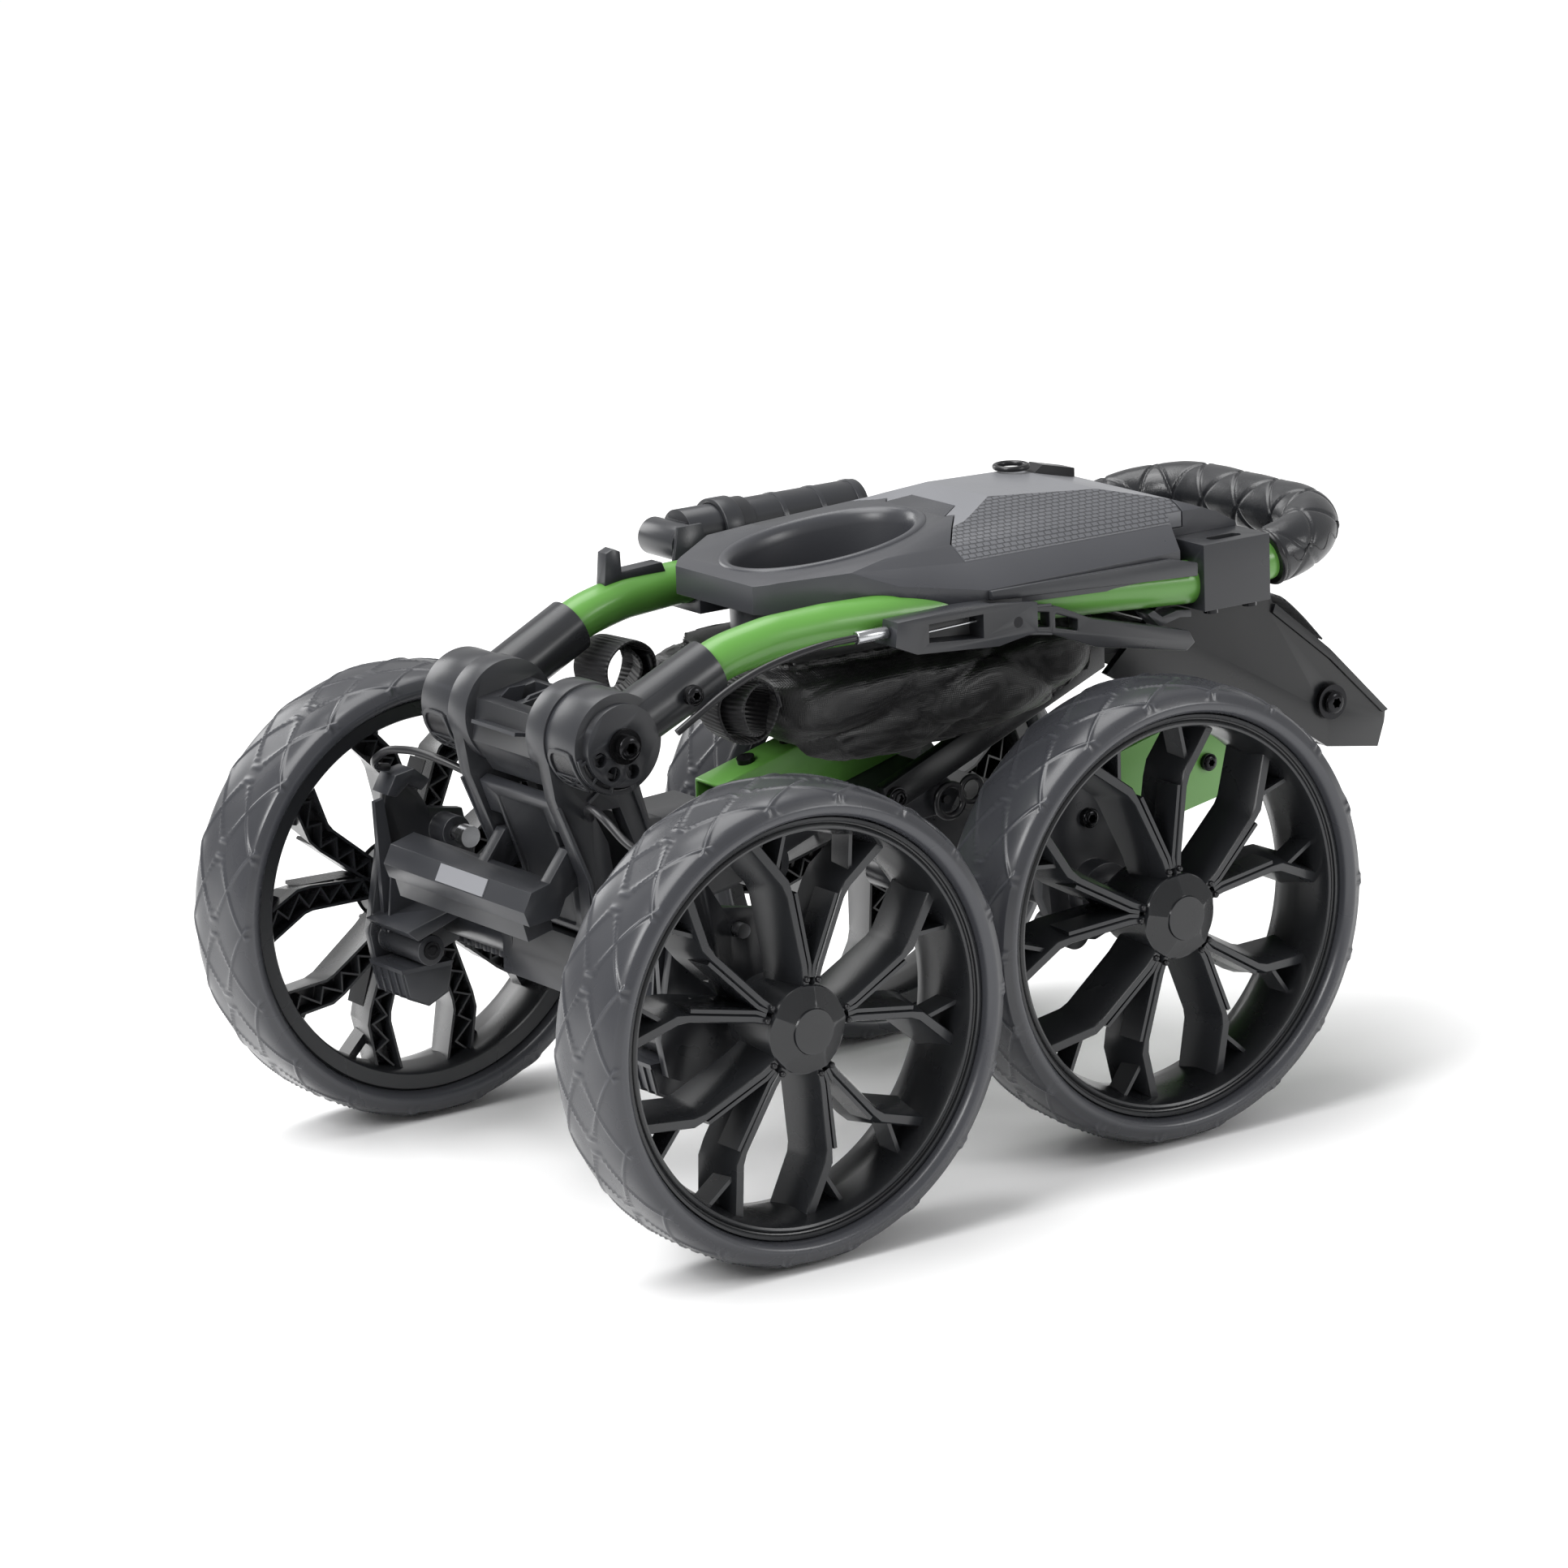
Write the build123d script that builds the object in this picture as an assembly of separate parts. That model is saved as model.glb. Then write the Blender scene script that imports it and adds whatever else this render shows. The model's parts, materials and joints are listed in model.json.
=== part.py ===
"""Folded four-wheel golf trolley: every piece is a separate solid, in millimetres.

+X runs from the rear axle to the front axle, +Y to the trolley's left, +Z up.
The shapes are drawn about the point on the floor midway between the two axles,
and saved about the middle of the object's footprint, which is ORIGIN_X further on.
"""
from build123d import *
import os
from math import atan, cos, degrees, radians, sin

# --- driving dimensions -------------------------------------------------------------
ORIGIN_X = 54.5          # middle of the footprint, from the point midway between the axles
WHEEL_R = 127.0          # ten inch wheels
TYRE_W = 57.4
RIM_SEAT_R = 106.0       # the tyre's bore
RIM_LIP_R = 111.0
RIM_OPEN_R = 103.8       # inner edge of the rim's lip
RIM_WAIST_R = 98.5
AXLE_R = 6.0
RUNNING = 0.05           # radial clearance of a shaft in its bore
AXLE_Z = WHEEL_R
REAR_X = -139.0
FRONT_X = 139.0
REAR_TRACK = 179.0       # wheel mid-plane from the centre plane
FRONT_TRACK = 134.0
PIVOT_X = -164.0         # the handle's fold axis
PIVOT_Z = 258.0
DRUM_R = 28.0
DRUM_Y0, DRUM_Y1 = 29.0, 46.0
HUB_R = 27.0
HUB_Y0, HUB_Y1 = 46.5, 79.0
TUBE_R = 12.0            # green handle tube
GRIP_R = 16.5
SOCKET_END = (-100.0, 65.5, 288.0)
BEAM_SLOPE = 0.26        # rise of the main beam for each millimetre forward
BEAM_HALF_W = 12.0
BEAM_TOP_Z = 221.7       # top of the beam at x = 0
BEAM_H = 33.5            # measured straight up
BEAM_X0, BEAM_X1 = -59.0, 205.0
FORK_X, FORK_Z = 334.0, 195.0   # the front fork's fold axis
BOX_Y0, BOX_Y1 = 43.0, 48.0     # the beam box's side walls
CONSOLE_HALF_W = 92.0
LID_X0, LID_X1 = 64.0, 216.0
LID_NOSE_X = 97.0
LID_GAP = 1.0
LID_HALF_W = 72.0
LID_PARTING_Z = 316.0
CUP_X, CUP_A, CUP_B = 22.0, 57.0, 41.0
LEVER_X, LEVER_Z = 73.0, 291.0
LEVER_Y0, LEVER_Y1 = 92.9, 101.9   # the blade's faces, outside the right-hand tube
UMBRELLA_Y, UMBRELLA_Z, UMBRELLA_R = 110.0, 315.0, 15.0
UMBRELLA_X0, UMBRELLA_X1 = 2.0, 122.0
PEDAL_X, PEDAL_Z = -164.0, 187.0   # the release pedal's hinge
BRACKET_Y0, BRACKET_Y1 = 138.2, 144.0
PIN_X, PIN_Z, PIN_R = -141.0, 169.0, 4.0
SPOKE_PAIRS = 5

os.makedirs("parts", exist_ok=True)


# --- helpers ------------------------------------------------------------------------
def save(name, shape):
    """Write one node, moved from the drawing origin to the part's own origin."""
    solids = [Pos(-ORIGIN_X, 0, 0) * solid for solid in shape.solids()]
    export_step(solids[0] if len(solids) == 1 else Compound(solids), f"parts/{name}.step")


def group(*solids):
    """Separate solids kept in one node."""
    return Compound([solid for item in solids for solid in item.solids()])


def span_y(radius, x, z, y0, y1):
    """A cylinder along Y."""
    return Pos(x, (y0 + y1) / 2, z) * Rot(90, 0, 0) * Cylinder(radius, abs(y1 - y0))


def slab(outline, y0, y1):
    """An outline in the XZ plane carried from y0 to y1."""
    points = [(x, y0, z) for x, z in outline]
    return extrude(make_face(Polyline(*points, close=True)), amount=y1 - y0, dir=(0, 1, 0))


def plan(outline, z0, z1):
    """An outline in the XY plane carried from z0 to z1."""
    points = [(x, y, z0) for x, y in outline]
    return extrude(make_face(Polyline(*points, close=True)), amount=z1 - z0, dir=(0, 0, 1))


def block(x0, x1, y0, y1, z0, z1):
    return Pos((x0 + x1) / 2, (y0 + y1) / 2, (z0 + z1) / 2) * Box(x1 - x0, y1 - y0, z1 - z0)


def lathe(outline):
    """A ring about Y from an outline of (radius, offset along Y)."""
    return revolve(make_face(Polyline(*[(r, y, 0) for r, y in outline], close=True)), Axis.Y, 360)


def mirrored(shape):
    """The same piece on the other side of the trolley."""
    return mirror(shape, Plane.XZ)


def polar(radius, angle):
    return radius * cos(radians(angle)), radius * sin(radians(angle))


def pipe(points, radii, radius):
    """A round rod along straight runs joined by arcs."""
    path = FilletPolyline(*points, radius=radii)
    start = Plane(origin=path @ 0, z_dir=path % 0)
    return sweep(start * Circle(radius), path)


def arc_radii(points, share=0.45):
    """The largest tidy arc at each inner point of a route."""
    radii = []
    for a, b, c in zip(points, points[1:], points[2:]):
        before, after = Vector(*b) - Vector(*a), Vector(*c) - Vector(*b)
        half_turn = radians(before.get_angle(after) / 2)
        radii.append(share * min(before.length, after.length) * cos(half_turn) / sin(half_turn))
    return radii


def cable(name, points, radius):
    """A cable's rod along a hand-chosen route, with its arc radii and volume printed."""
    radii = arc_radii(points)
    rod = pipe(points, radii, radius)
    print(name, "arc radii", [round(r, 1) for r in radii], "volume", round(rod.volume))
    return rod


# --- wheels -------------------------------------------------------------------------
def tyre():
    """Solid tyre with a rounded crown, seated between the rim's lips."""
    section = [
        (RIM_SEAT_R, -18), (RIM_LIP_R + 0.2, -19.4), (RIM_LIP_R + 0.6, -22.5), (RIM_LIP_R + 1.4, -26.5),
        (117, -28.7), (122, -26.5), (125.4, -20), (WHEEL_R, -9), (WHEEL_R, 9), (125.4, 20), (122, 26.5),
        (117, 28.7), (RIM_LIP_R + 1.4, 26.5), (RIM_LIP_R + 0.6, 22.5), (RIM_LIP_R + 0.2, 19.4), (RIM_SEAT_R, 18),
    ]
    return lathe(section)


def spoke_outline(angle, side):
    """One arm of a V pair: narrow at the hub, a kink two thirds of the way, then the rim."""
    stations = [(19.0, 3.0, 4.5), (67.0, 14.0, 5.5), (RIM_OPEN_R, 24.0, 6.5)]
    outer, inner = [], []
    for radius, spread, half_width in stations:
        turn = degrees(half_width / radius)
        outer.append(polar(radius, angle + side * spread + turn))
        inner.append(polar(radius, angle + side * spread - turn))
    return outer + inner[::-1]


def branch_outline(angle, side):
    """The short strut that closes a small window between an arm and the rim."""
    stations = [(80.0, 16.5, 2.6), (RIM_OPEN_R, 11.5, 2.6)]
    outer, inner = [], []
    for radius, spread, half_width in stations:
        turn = degrees(half_width / radius)
        outer.append(polar(radius, angle + side * spread + turn))
        inner.append(polar(radius, angle + side * spread - turn))
    return outer + inner[::-1]


def rim(phase):
    """Moulded wheel: barrel, hub and five V pairs of spokes. Its outer face looks along -Y."""
    barrel = lathe([
        (RIM_SEAT_R, -18), (RIM_LIP_R, -19.5), (RIM_LIP_R, -22), (RIM_OPEN_R, -21.5), (RIM_WAIST_R, 0),
        (100.5, 21.5), (RIM_LIP_R, 22), (RIM_LIP_R, 19.5), (RIM_SEAT_R, 18),
    ])
    hub = lathe([(AXLE_R + RUNNING, -21), (21, -21), (22, 22), (16, 26), (AXLE_R + RUNNING, 26)])
    envelope = lathe([(15, -24.5), (30, -23.5), (102.5, -11), (102.5, 12), (30, 19), (15, 20)])
    cap_seat = lathe([(0, -30), (23.9, -30), (23.9, -21), (0, -21)])
    room = envelope - cap_seat - barrel - hub
    spokes = []
    for pair in range(SPOKE_PAIRS):
        angle = phase + pair * 360 / SPOKE_PAIRS
        outlines = [shape(angle, side) for side in (-1, 1) for shape in (spoke_outline, branch_outline)]
        bars = [slab(outline, -26, 22) for outline in outlines]
        spokes.append((bars[0] + bars[2] + bars[1] + bars[3]) & room)
    return group(barrel, hub, *spokes)


def hub_cap():
    """Domed cap over the outer end of the hub, with a round disc in its middle."""
    return lathe([(0, -21.05), (23.5, -21.05), (23.0, -22.6), (15.5, -26.3), (12.5, -26.8),
                  (12.2, -28.4), (0, -28.4)])


WHEELS = {
    "rear_right": (REAR_X, -REAR_TRACK, 8.0),
    "rear_left": (REAR_X, REAR_TRACK, 20.0),
    "front_right": (FRONT_X, -FRONT_TRACK, 24.0),
    "front_left": (FRONT_X, FRONT_TRACK, 40.0),
}


def build_wheels():
    tyre_shape, cap_shape = tyre(), hub_cap()
    for name, (x, y, phase) in WHEELS.items():
        turn = 0 if y < 0 else 180
        place = Pos(x, y, AXLE_Z) * Rot(0, 0, turn)
        save(f"tyre_{name}", place * tyre_shape)
        save(f"rim_{name}", place * rim(phase))
        save(f"cap_{name}", place * cap_shape)


# --- rear body ----------------------------------------------------------------------
def beam_top(x):
    return BEAM_TOP_Z + BEAM_SLOPE * x


def beam_bottom(x):
    return beam_top(x) - BEAM_H


def rear_casting():
    """Moulded body: two pivot drums, a bridge, windowed side legs, axle saddle and tongue."""
    leg = slab([(-190, 250), (-186, 226), (-168, 180), (-163, 112), (-116, 112), (-114, 150),
                (-126, 200), (-138, 244)], 36.0, DRUM_Y1)
    leg -= slab([(-163, 216), (-154, 198), (-150, 172), (-134, 186), (-146, 216)], 35.0, DRUM_Y1 + 1)
    leg -= span_y(3.0, PEDAL_X, PEDAL_Z, 30.0, 43.0)
    drum = span_y(DRUM_R, PIVOT_X, PIVOT_Z, DRUM_Y0, DRUM_Y1)
    drum -= span_y(AXLE_R, PIVOT_X, PIVOT_Z, DRUM_Y0 - 1, DRUM_Y1 + 1)
    side = leg + drum
    bridge = slab([(-184, 268), (-150, 274), (-142, 256), (-146, 236), (-176, 228), (-188, 246)],
                  -DRUM_Y0, DRUM_Y0)
    bridge -= slab([(-178, 282), (-153, 282), (-153, 256), (-174, 252)], -20.0, -3.0)
    bridge -= slab([(-178, 282), (-153, 282), (-153, 256), (-174, 252)], 3.0, 20.0)
    saddle = block(-164, -114, -DRUM_Y1, DRUM_Y1, 111, 144)
    rear_wall = slab([(-132, 140), (-120, 140), (-120, 206), (-132, 206)], -DRUM_Y1, DRUM_Y1)
    tongue = slab([(-132, 196), (-66, 199), (-62, beam_bottom(-62)), (8, beam_bottom(8)),
                   (10, beam_bottom(8) - 13), (-60, 152), (-132, 142)], -22.0, 22.0)
    boss = span_y(14.0, -42.0, 163.0, -30.0, 30.0)
    body = side + mirrored(side) + bridge + saddle + rear_wall + tongue + boss
    body -= span_y(16.05, REAR_X, AXLE_Z, -50.0, 50.0)
    keep_off_beam = slab([(-61, 230), (-59.2, beam_bottom(-59.2)), (60, beam_bottom(60)), (60, 260)], -31, 31)
    return body - keep_off_beam


def casting_cover():
    """Arched panel that closes the rear body between its legs, stepped back in the middle."""
    wall = slab([(-181, 222), (-175.5, 225), (-157, 174), (-154.5, 146), (-160.5, 146), (-163, 172)],
                -35.7, 35.7)
    recess = slab([(-188, 214), (-177.2, 216), (-161, 176), (-159, 150), (-170, 150)], -22.0, 22.0)
    for y0, y1 in ((25.2, 36.0), (-36.0, -25.2)):
        wall -= block(-185, -150, y0, y1, 172, 204)
    return wall - recess


def rear_axle_tube():
    """Thick round axle beam with a shallow saw-tooth rack along its underside."""
    tube = span_y(16.0, REAR_X, AXLE_Z, -138.0, 138.0) - span_y(AXLE_R, REAR_X, AXLE_Z, -139, 139)
    teeth = []
    for count in range(9):
        y = 54.0 + 8.0 * count
        for side in (-1, 1):
            y0 = side * y
            teeth.append(block(REAR_X - 6, REAR_X + 6, y0 - 2.5, y0 + 2.5, AXLE_Z - 18.5, AXLE_Z - 13))
    for tooth in teeth:
        tube += tooth
    return tube


def brake_bracket():
    """Left bracket: upright plate on the axle, guide barrel for the brake pin, step and barrel."""
    plate = slab([(-191, 118), (-187, 98), (-172, 91), (-156, 97), (-122, 108), (-119, 140),
                  (-128, 178), (-150, 182), (-160, 198), (-176, 200), (-181, 170)], BRACKET_Y0, BRACKET_Y1)
    guide = span_y(9.0, PIN_X, PIN_Z, 124.0, BRACKET_Y1)
    barrel = span_y(8.5, -177.0, 114.0, 98.0, BRACKET_Y0 + 1)
    step = slab([(-193, 127), (-160, 136), (-157, 131), (-186, 121)], 96.0, BRACKET_Y0 + 1)
    rib = slab([(-180, 114), (-172, 114), (-168, 132), (-178, 129)], 114.0, BRACKET_Y0 + 1)
    hook = slab([(-182, 196), (-176, 206), (-164, 208), (-154, 200), (-160, 195), (-168, 200), (-176, 194)],
                128.0, BRACKET_Y1)
    body = plate + guide + barrel + step + rib + hook
    body -= span_y(AXLE_R + 2.0, REAR_X, AXLE_Z, 90.0, 150.0)
    body -= span_y(PIN_R + RUNNING, PIN_X, PIN_Z, 120.0, 150.0)
    return body


def brake_pin():
    """Left brake pin, with the head its cable pulls on; its tip stops at the wheel's ribs."""
    return span_y(PIN_R, PIN_X, PIN_Z, 117.0, 150.0) + span_y(6.0, PIN_X, PIN_Z, 110.0, 117.5)


def brake_shoe():
    """Left ribbed toe bucket hung under the bracket's barrel."""
    outer = slab([(-192, 104), (-188, 88), (-176, 82), (-164, 88), (-160, 102), (-177, 105.2)], 104.0, 136.0)
    hollow = slab([(-187, 101), (-184, 91), (-176, 87), (-168, 91), (-165, 100)], 107.0, 133.0)
    return outer - hollow - span_y(8.7, -177.0, 114.0, 100.0, 140.0)


def main_beam():
    """Green rectangular aluminium tube rising forward from the rear body."""
    outline = [(BEAM_X0, beam_top(BEAM_X0)), (BEAM_X0, beam_bottom(BEAM_X0)),
               (BEAM_X1, beam_bottom(BEAM_X1)), (BEAM_X1, beam_top(BEAM_X1))]
    wall = 2.4
    inner = [(x + (-1 if i < 2 else 1), z + (-wall if i in (0, 3) else wall)) for i, (x, z) in enumerate(outline)]
    return slab(outline, -BEAM_HALF_W, BEAM_HALF_W) - slab(inner, -BEAM_HALF_W + wall, BEAM_HALF_W - wall)


def beam_box():
    """Black channel at the beam's front end; the fork folds into its open side."""
    side = [(176, 236), (206, 262), (222, 279), (287, 279), (294, 258), (333, 226), (375, 184), (374, 177),
            (369, 163), (332, 169), (292, 196), (230, 222), (196, 224)]
    wall = slab(side, BOX_Y0, BOX_Y1)
    lip = slab([(292, 253), (333, 220), (371, 183), (375, 184), (333, 226), (294, 258)], BOX_Y1, BOX_Y1 + 2.5)
    rail = slab([(332, 169), (374, 177), (373, 170), (369, 163)], BOX_Y0 - 8, BOX_Y0)
    half = wall + lip + rail
    web = slab([(206, 262), (222, 279), (287, 279), (294, 258), (333, 226), (329, 223), (290, 254),
                (284, 275), (224, 275), (209, 260)], -BOX_Y0, BOX_Y0)
    cheek = block(176, BEAM_X1, BEAM_HALF_W, BOX_Y0, beam_bottom(BEAM_X1) + 4, beam_bottom(BEAM_X1) + 19)
    body = half + mirrored(half) + web + cheek + mirrored(cheek)
    body -= span_y(AXLE_R, FORK_X, FORK_Z, -60, 60)
    return body


def beam_struts():
    """Flat bars from the bracket under the beam to the box's upper rear corner."""
    bar = slab([(24, 197), (26, 186), (36, 184), (176, 240), (176, 257), (170, 255.5)], BOX_Y0 - 4, BOX_Y0 + 4)
    return group(bar, mirrored(bar))


def strut_bracket():
    """Cross block bolted under the beam that takes the struts' lower ends."""
    body = slab([(18, beam_bottom(18) - 0.2), (60, beam_bottom(60) - 0.2), (82, 186), (74, 174), (30, 172),
                 (18, 180)], -BOX_Y0 + 4, BOX_Y0 - 4)
    body -= slab([(34, 190), (60, 196), (70, 184), (62, 179), (36, 178)], -30, -6)
    body -= slab([(34, 190), (60, 196), (70, 184), (62, 179), (36, 178)], 6, 30)
    return body


def strap_hook():
    """Two shock-cord rings held on the bracket's cross pin."""
    ring = Pos(70, 44, 182) * Rot(90, 0, 0) * Torus(9.0, 2.0)
    ring_b = Pos(84, 44.6, 186) * Rot(90, 0, 0) * Torus(7.0, 1.8)
    pin = span_y(2.4, 70, 182, 39.2, 41.6)
    one = [ring, ring_b, pin]
    return group(*one, *[mirrored(s) for s in one])


def beam_fasteners():
    """Cap screws: two through the beam's top, and one at each strut's lower end."""
    heads = []
    for x in (-33.0, -5.0):
        tilt = degrees(atan(BEAM_SLOPE))
        heads.append(Pos(x, 0, beam_top(x)) * Rot(0, -tilt, 0) * Pos(0, 0, 1.5) * Cylinder(5.0, 3.0))
    for side in (-1, 1):
        heads.append(span_y(6.0, 31, 191, side * (BOX_Y0 + 4), side * (BOX_Y0 + 7.5)))
        heads.append(span_y(7.0, -42, 163, side * 30.0, side * 33.0))
    return group(*heads)


def fork_pin():
    """Pin through the box's side walls that the fork turns on, with a domed head each side."""
    pin = span_y(AXLE_R, FORK_X, FORK_Z, -BOX_Y1, BOX_Y1)
    heads = span_y(10.0, FORK_X, FORK_Z, BOX_Y1, BOX_Y1 + 3) + span_y(6.5, FORK_X, FORK_Z, BOX_Y1, BOX_Y1 + 5)
    return pin + heads + mirrored(heads)


def pivot_bolts():
    """The handle's pivot bolts, fixed in the drums, with a flanged head over each hub."""
    bolt = span_y(AXLE_R, PIVOT_X, PIVOT_Z, 30.0, HUB_Y1 + 0.6)
    bolt += span_y(9.5, PIVOT_X, PIVOT_Z, HUB_Y1 + 0.5, HUB_Y1 + 2.5)
    bolt += span_y(6.5, PIVOT_X, PIVOT_Z, HUB_Y1 + 2.0, HUB_Y1 + 6.0)
    return group(bolt, mirrored(bolt))


CABLE_R = 2.2
LOWER_CABLE = [(-166, 47.9, 214), (-177, 62, 223), (-188, 84, 230), (-194, 106, 228), (-193, 122, 219),
               (-186, 132.5, 212), (-176, 135.8, 209.4)]
LEVER_CABLE = [(-28, -98, 297), (-46, -97, 296.5), (-66, -95, 293.5), (-86, -92, 288), (-104, -89, 280),
               (-120, -86.5, 270), (-134, -84.5, 261)]


def brake_cables():
    """The two cables from the rear body to the wheel brackets."""
    rod = cable("lower cable", LOWER_CABLE, CABLE_R)
    return group(rod, mirrored(rod))


def rear_foot():
    """Two feet below the rear body, for standing the folded trolley on its tail."""
    foot = slab([(-113.8, 140), (-100, 140), (-88, 104), (-80, 78), (-88, 70), (-100, 72), (-104, 92),
                 (-113.8, 112)], 30.0, 56.0)
    foot -= slab([(-109, 118), (-101, 118), (-92, 96), (-97, 88)], 34.0, 60.0)
    return group(foot, mirrored(foot))


def front_net():
    """Soft mesh flap stretched over the box's sloping front edge."""
    return slab([(293, 262), (298, 264), (313, 256), (336, 231), (335.5, 226.8), (297, 258.6)], -42.0, 42.0)


def release_pedal():
    """Fold-release pedal: faceted bar with a lip below it, hung on two ears."""
    bar = slab([(-198, 158), (-201, 166), (-196, 176), (-181, 180), (-174, 171), (-179, 160)], -34.5, 104.0)
    lip = slab([(-195, 148), (-198, 159), (-181, 161), (-179, 152)], -28.0, 98.0)
    ear = slab([(-190, 172), (-172, 195), (PEDAL_X - 1, 195), (-156, 188), (-158, 180), (-180, 166)], 26.0, 34.5)
    body = bar + lip + ear + mirrored(ear)
    return body - span_y(3.0 + RUNNING, PEDAL_X, PEDAL_Z, -60, 60)


def pedal_pins():
    """Pins from the side legs that the pedal's ears turn on."""
    pin = span_y(3.0, PEDAL_X, PEDAL_Z, 25.5, 43.0)
    return group(pin, mirrored(pin))


# --- handle -------------------------------------------------------------------------
def socket_hub():
    """Left hub and socket: turns on the pivot bolt and holds the end of the handle tube."""
    hub = span_y(HUB_R, PIVOT_X, PIVOT_Z, HUB_Y0, HUB_Y1 - 5)
    hub += span_y(HUB_R - 5, PIVOT_X, PIVOT_Z, HUB_Y1 - 6, HUB_Y1)
    start = Vector(PIVOT_X, 62.0, PIVOT_Z)
    end = Vector(*SOCKET_END)
    run = end - start
    sleeve = Plane(origin=start, z_dir=run) * Pos(0, 0, run.length / 2) * Cylinder(15.5, run.length)
    body = hub + sleeve
    body -= handle_tube(0.1)
    body -= span_y(AXLE_R + RUNNING, PIVOT_X, PIVOT_Z, HUB_Y0 - 1, HUB_Y1 + 1)
    for angle in (200, 245, 290):
        x, z = polar(15.5, angle)
        body -= Pos(PIVOT_X + x, HUB_Y1, PIVOT_Z + z) * Rot(90, 0, 0) * Cylinder(4.0, 14)
    return body


def hub_screws():
    """Screws that lock the tube in each socket."""
    screw = span_y(5.5, -121.0, 278.5, 80.3, 83.4)
    return group(screw, mirrored(screw))


HANDLE_SIDE = [(-112.8, -64.9, 281.9), (-92, -66.5, 292), (-64, -69, 297.5), (-30, -71.5, 299.3), (12, -74, 299),
               (76, -77, 296.5), (150, -79, 292), (228, -80, 287), (262, -80, 293), (318, -80, 305)]


def handle_path():
    """Centre line of the U: up one side, across the loop and back."""
    other = [(x, -y, z) for x, y, z in reversed(HANDLE_SIDE)]
    route = HANDLE_SIDE + other
    radii = []
    corner = len(HANDLE_SIDE) - 1
    for index in range(1, len(route) - 1):
        radii.append(44.0 if index in (corner, corner + 1) else 70.0)
    return route, radii


def handle_tube(clearance=0.0):
    """Green bent tube; the grip covers its cross bar. With a clearance, the room it needs."""
    route, radii = handle_path()
    return pipe(route, radii, TUBE_R + clearance)


GRIP_SIDE = [(268, -80, 294.28), (318, -80, 305)]


def grip():
    """Padded cover over the loop of the handle."""
    route = GRIP_SIDE + [(x, -y, z) for x, y, z in reversed(GRIP_SIDE)]
    return pipe(route, [44.0, 44.0], GRIP_R) - handle_tube()


def console_envelope():
    """Outer form of the console, cut from its plan, its side view and its cross section."""
    outline = [(-50, -36), (-44, -43), (-6, -68), (14, -CONSOLE_HALF_W + 12), (64, -CONSOLE_HALF_W),
               (196, -CONSOLE_HALF_W + 2), (206, -66), (254, -66)]
    outline += [(x, -y) for x, y in reversed(outline)]
    side = [(-60, 303), (60, 299), (206, 291), (262, 289), (262, 309), (240, 321), (217, 329.5), (180, 338),
            (113, 342), (84, 335), (-40, 320), (-60, 316)]
    section = [(-93, 285), (-93, 307), (-62, 327), (-40, 337), (-25, 343), (25, 343), (40, 337), (62, 327),
               (93, 307), (93, 285)]
    face = make_face(Polyline(*[(-70, y, z) for y, z in section], close=True))
    return plan(outline, 280, 350) & slab(side, -100, 100) & extrude(face, amount=340, dir=(1, 0, 0))


def cup_cut(grow, z0, z1):
    return Pos(CUP_X, 0, (z0 + z1) / 2) * extrude(Ellipse(CUP_A + grow, CUP_B + grow), amount=(z1 - z0) / 2, both=True)


def lid_outline(grow):
    """Plan of the lid, grown by a gap: its front edge steps back round the cup opening."""
    right = [(LID_NOSE_X - grow, 20), (85 - grow, 27), (88 - grow, 31), (LID_X0 - grow, 60),
             (LID_X0 - grow, LID_HALF_W + grow), (LID_X1 + grow, LID_HALF_W + grow)]
    return right + [(x, -y) for x, y in reversed(right)]


def console_tray(envelope, tube_room):
    """Lower console: cup opening through it, and a shallow storage tray under the lid."""
    tray = envelope - plan(lid_outline(LID_GAP), LID_PARTING_Z - 0.5, 360)
    tray -= block(LID_NOSE_X + 7, LID_X1 - 12, -60, 60, 301, 330)
    tray -= cup_cut(0.0, 250, 360)
    return tray - tube_room


def cup_bowl():
    """Deep ring that lines the cup opening."""
    ring = cup_cut(-0.2, 284.0, 312.0) - cup_cut(-4.2, 280, 320)
    return ring


def console_lid(envelope):
    """Storage lid: the raised top of the console, hollow underneath."""
    lid = envelope & plan(lid_outline(0.0), LID_PARTING_Z, 360)
    return lid - block(LID_NOSE_X + 7, LID_X1 - 6, -52, 52, LID_PARTING_Z - 1, 322)


def cord_clip():
    """Small cord clip on the rear end of the lid."""
    base = slab([(184, 337.2), (212, 330.8), (212, 336), (190, 341)], 24.0, 36.0)
    loop = Pos(174, 32, 341.2) * Torus(9.0, 1.6)
    return base, loop


def console_skirt():
    """Left trim strip below the console's edge, outside the handle tube."""
    return slab([(64, 302.5), (204, 294.6), (204, 302), (186, 306.5), (64, 307.5)], 92.3, 95.3)


def clamp(tube_room):
    """Left clamp box that fixes the console to the handle tube, with a slotted top."""
    body = block(208, 254, 66.5, 95.5, 274, 311)
    body -= Pos(231, 84, 312) * extrude(SlotOverall(22, 8), amount=-8)
    screws = group(Pos(218, 88, 272.4) * Cylinder(4, 3), Pos(245, 88, 272.4) * Cylinder(4, 3))
    return body - tube_room, screws


def tube_latch():
    """Cable guide clipped under the right-hand tube."""
    return slab([(176, 276), (184, 268), (198, 271), (206, 270), (206, 274), (196, 275), (186, 273),
                 (180, 277.4)], -86, -74)


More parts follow.
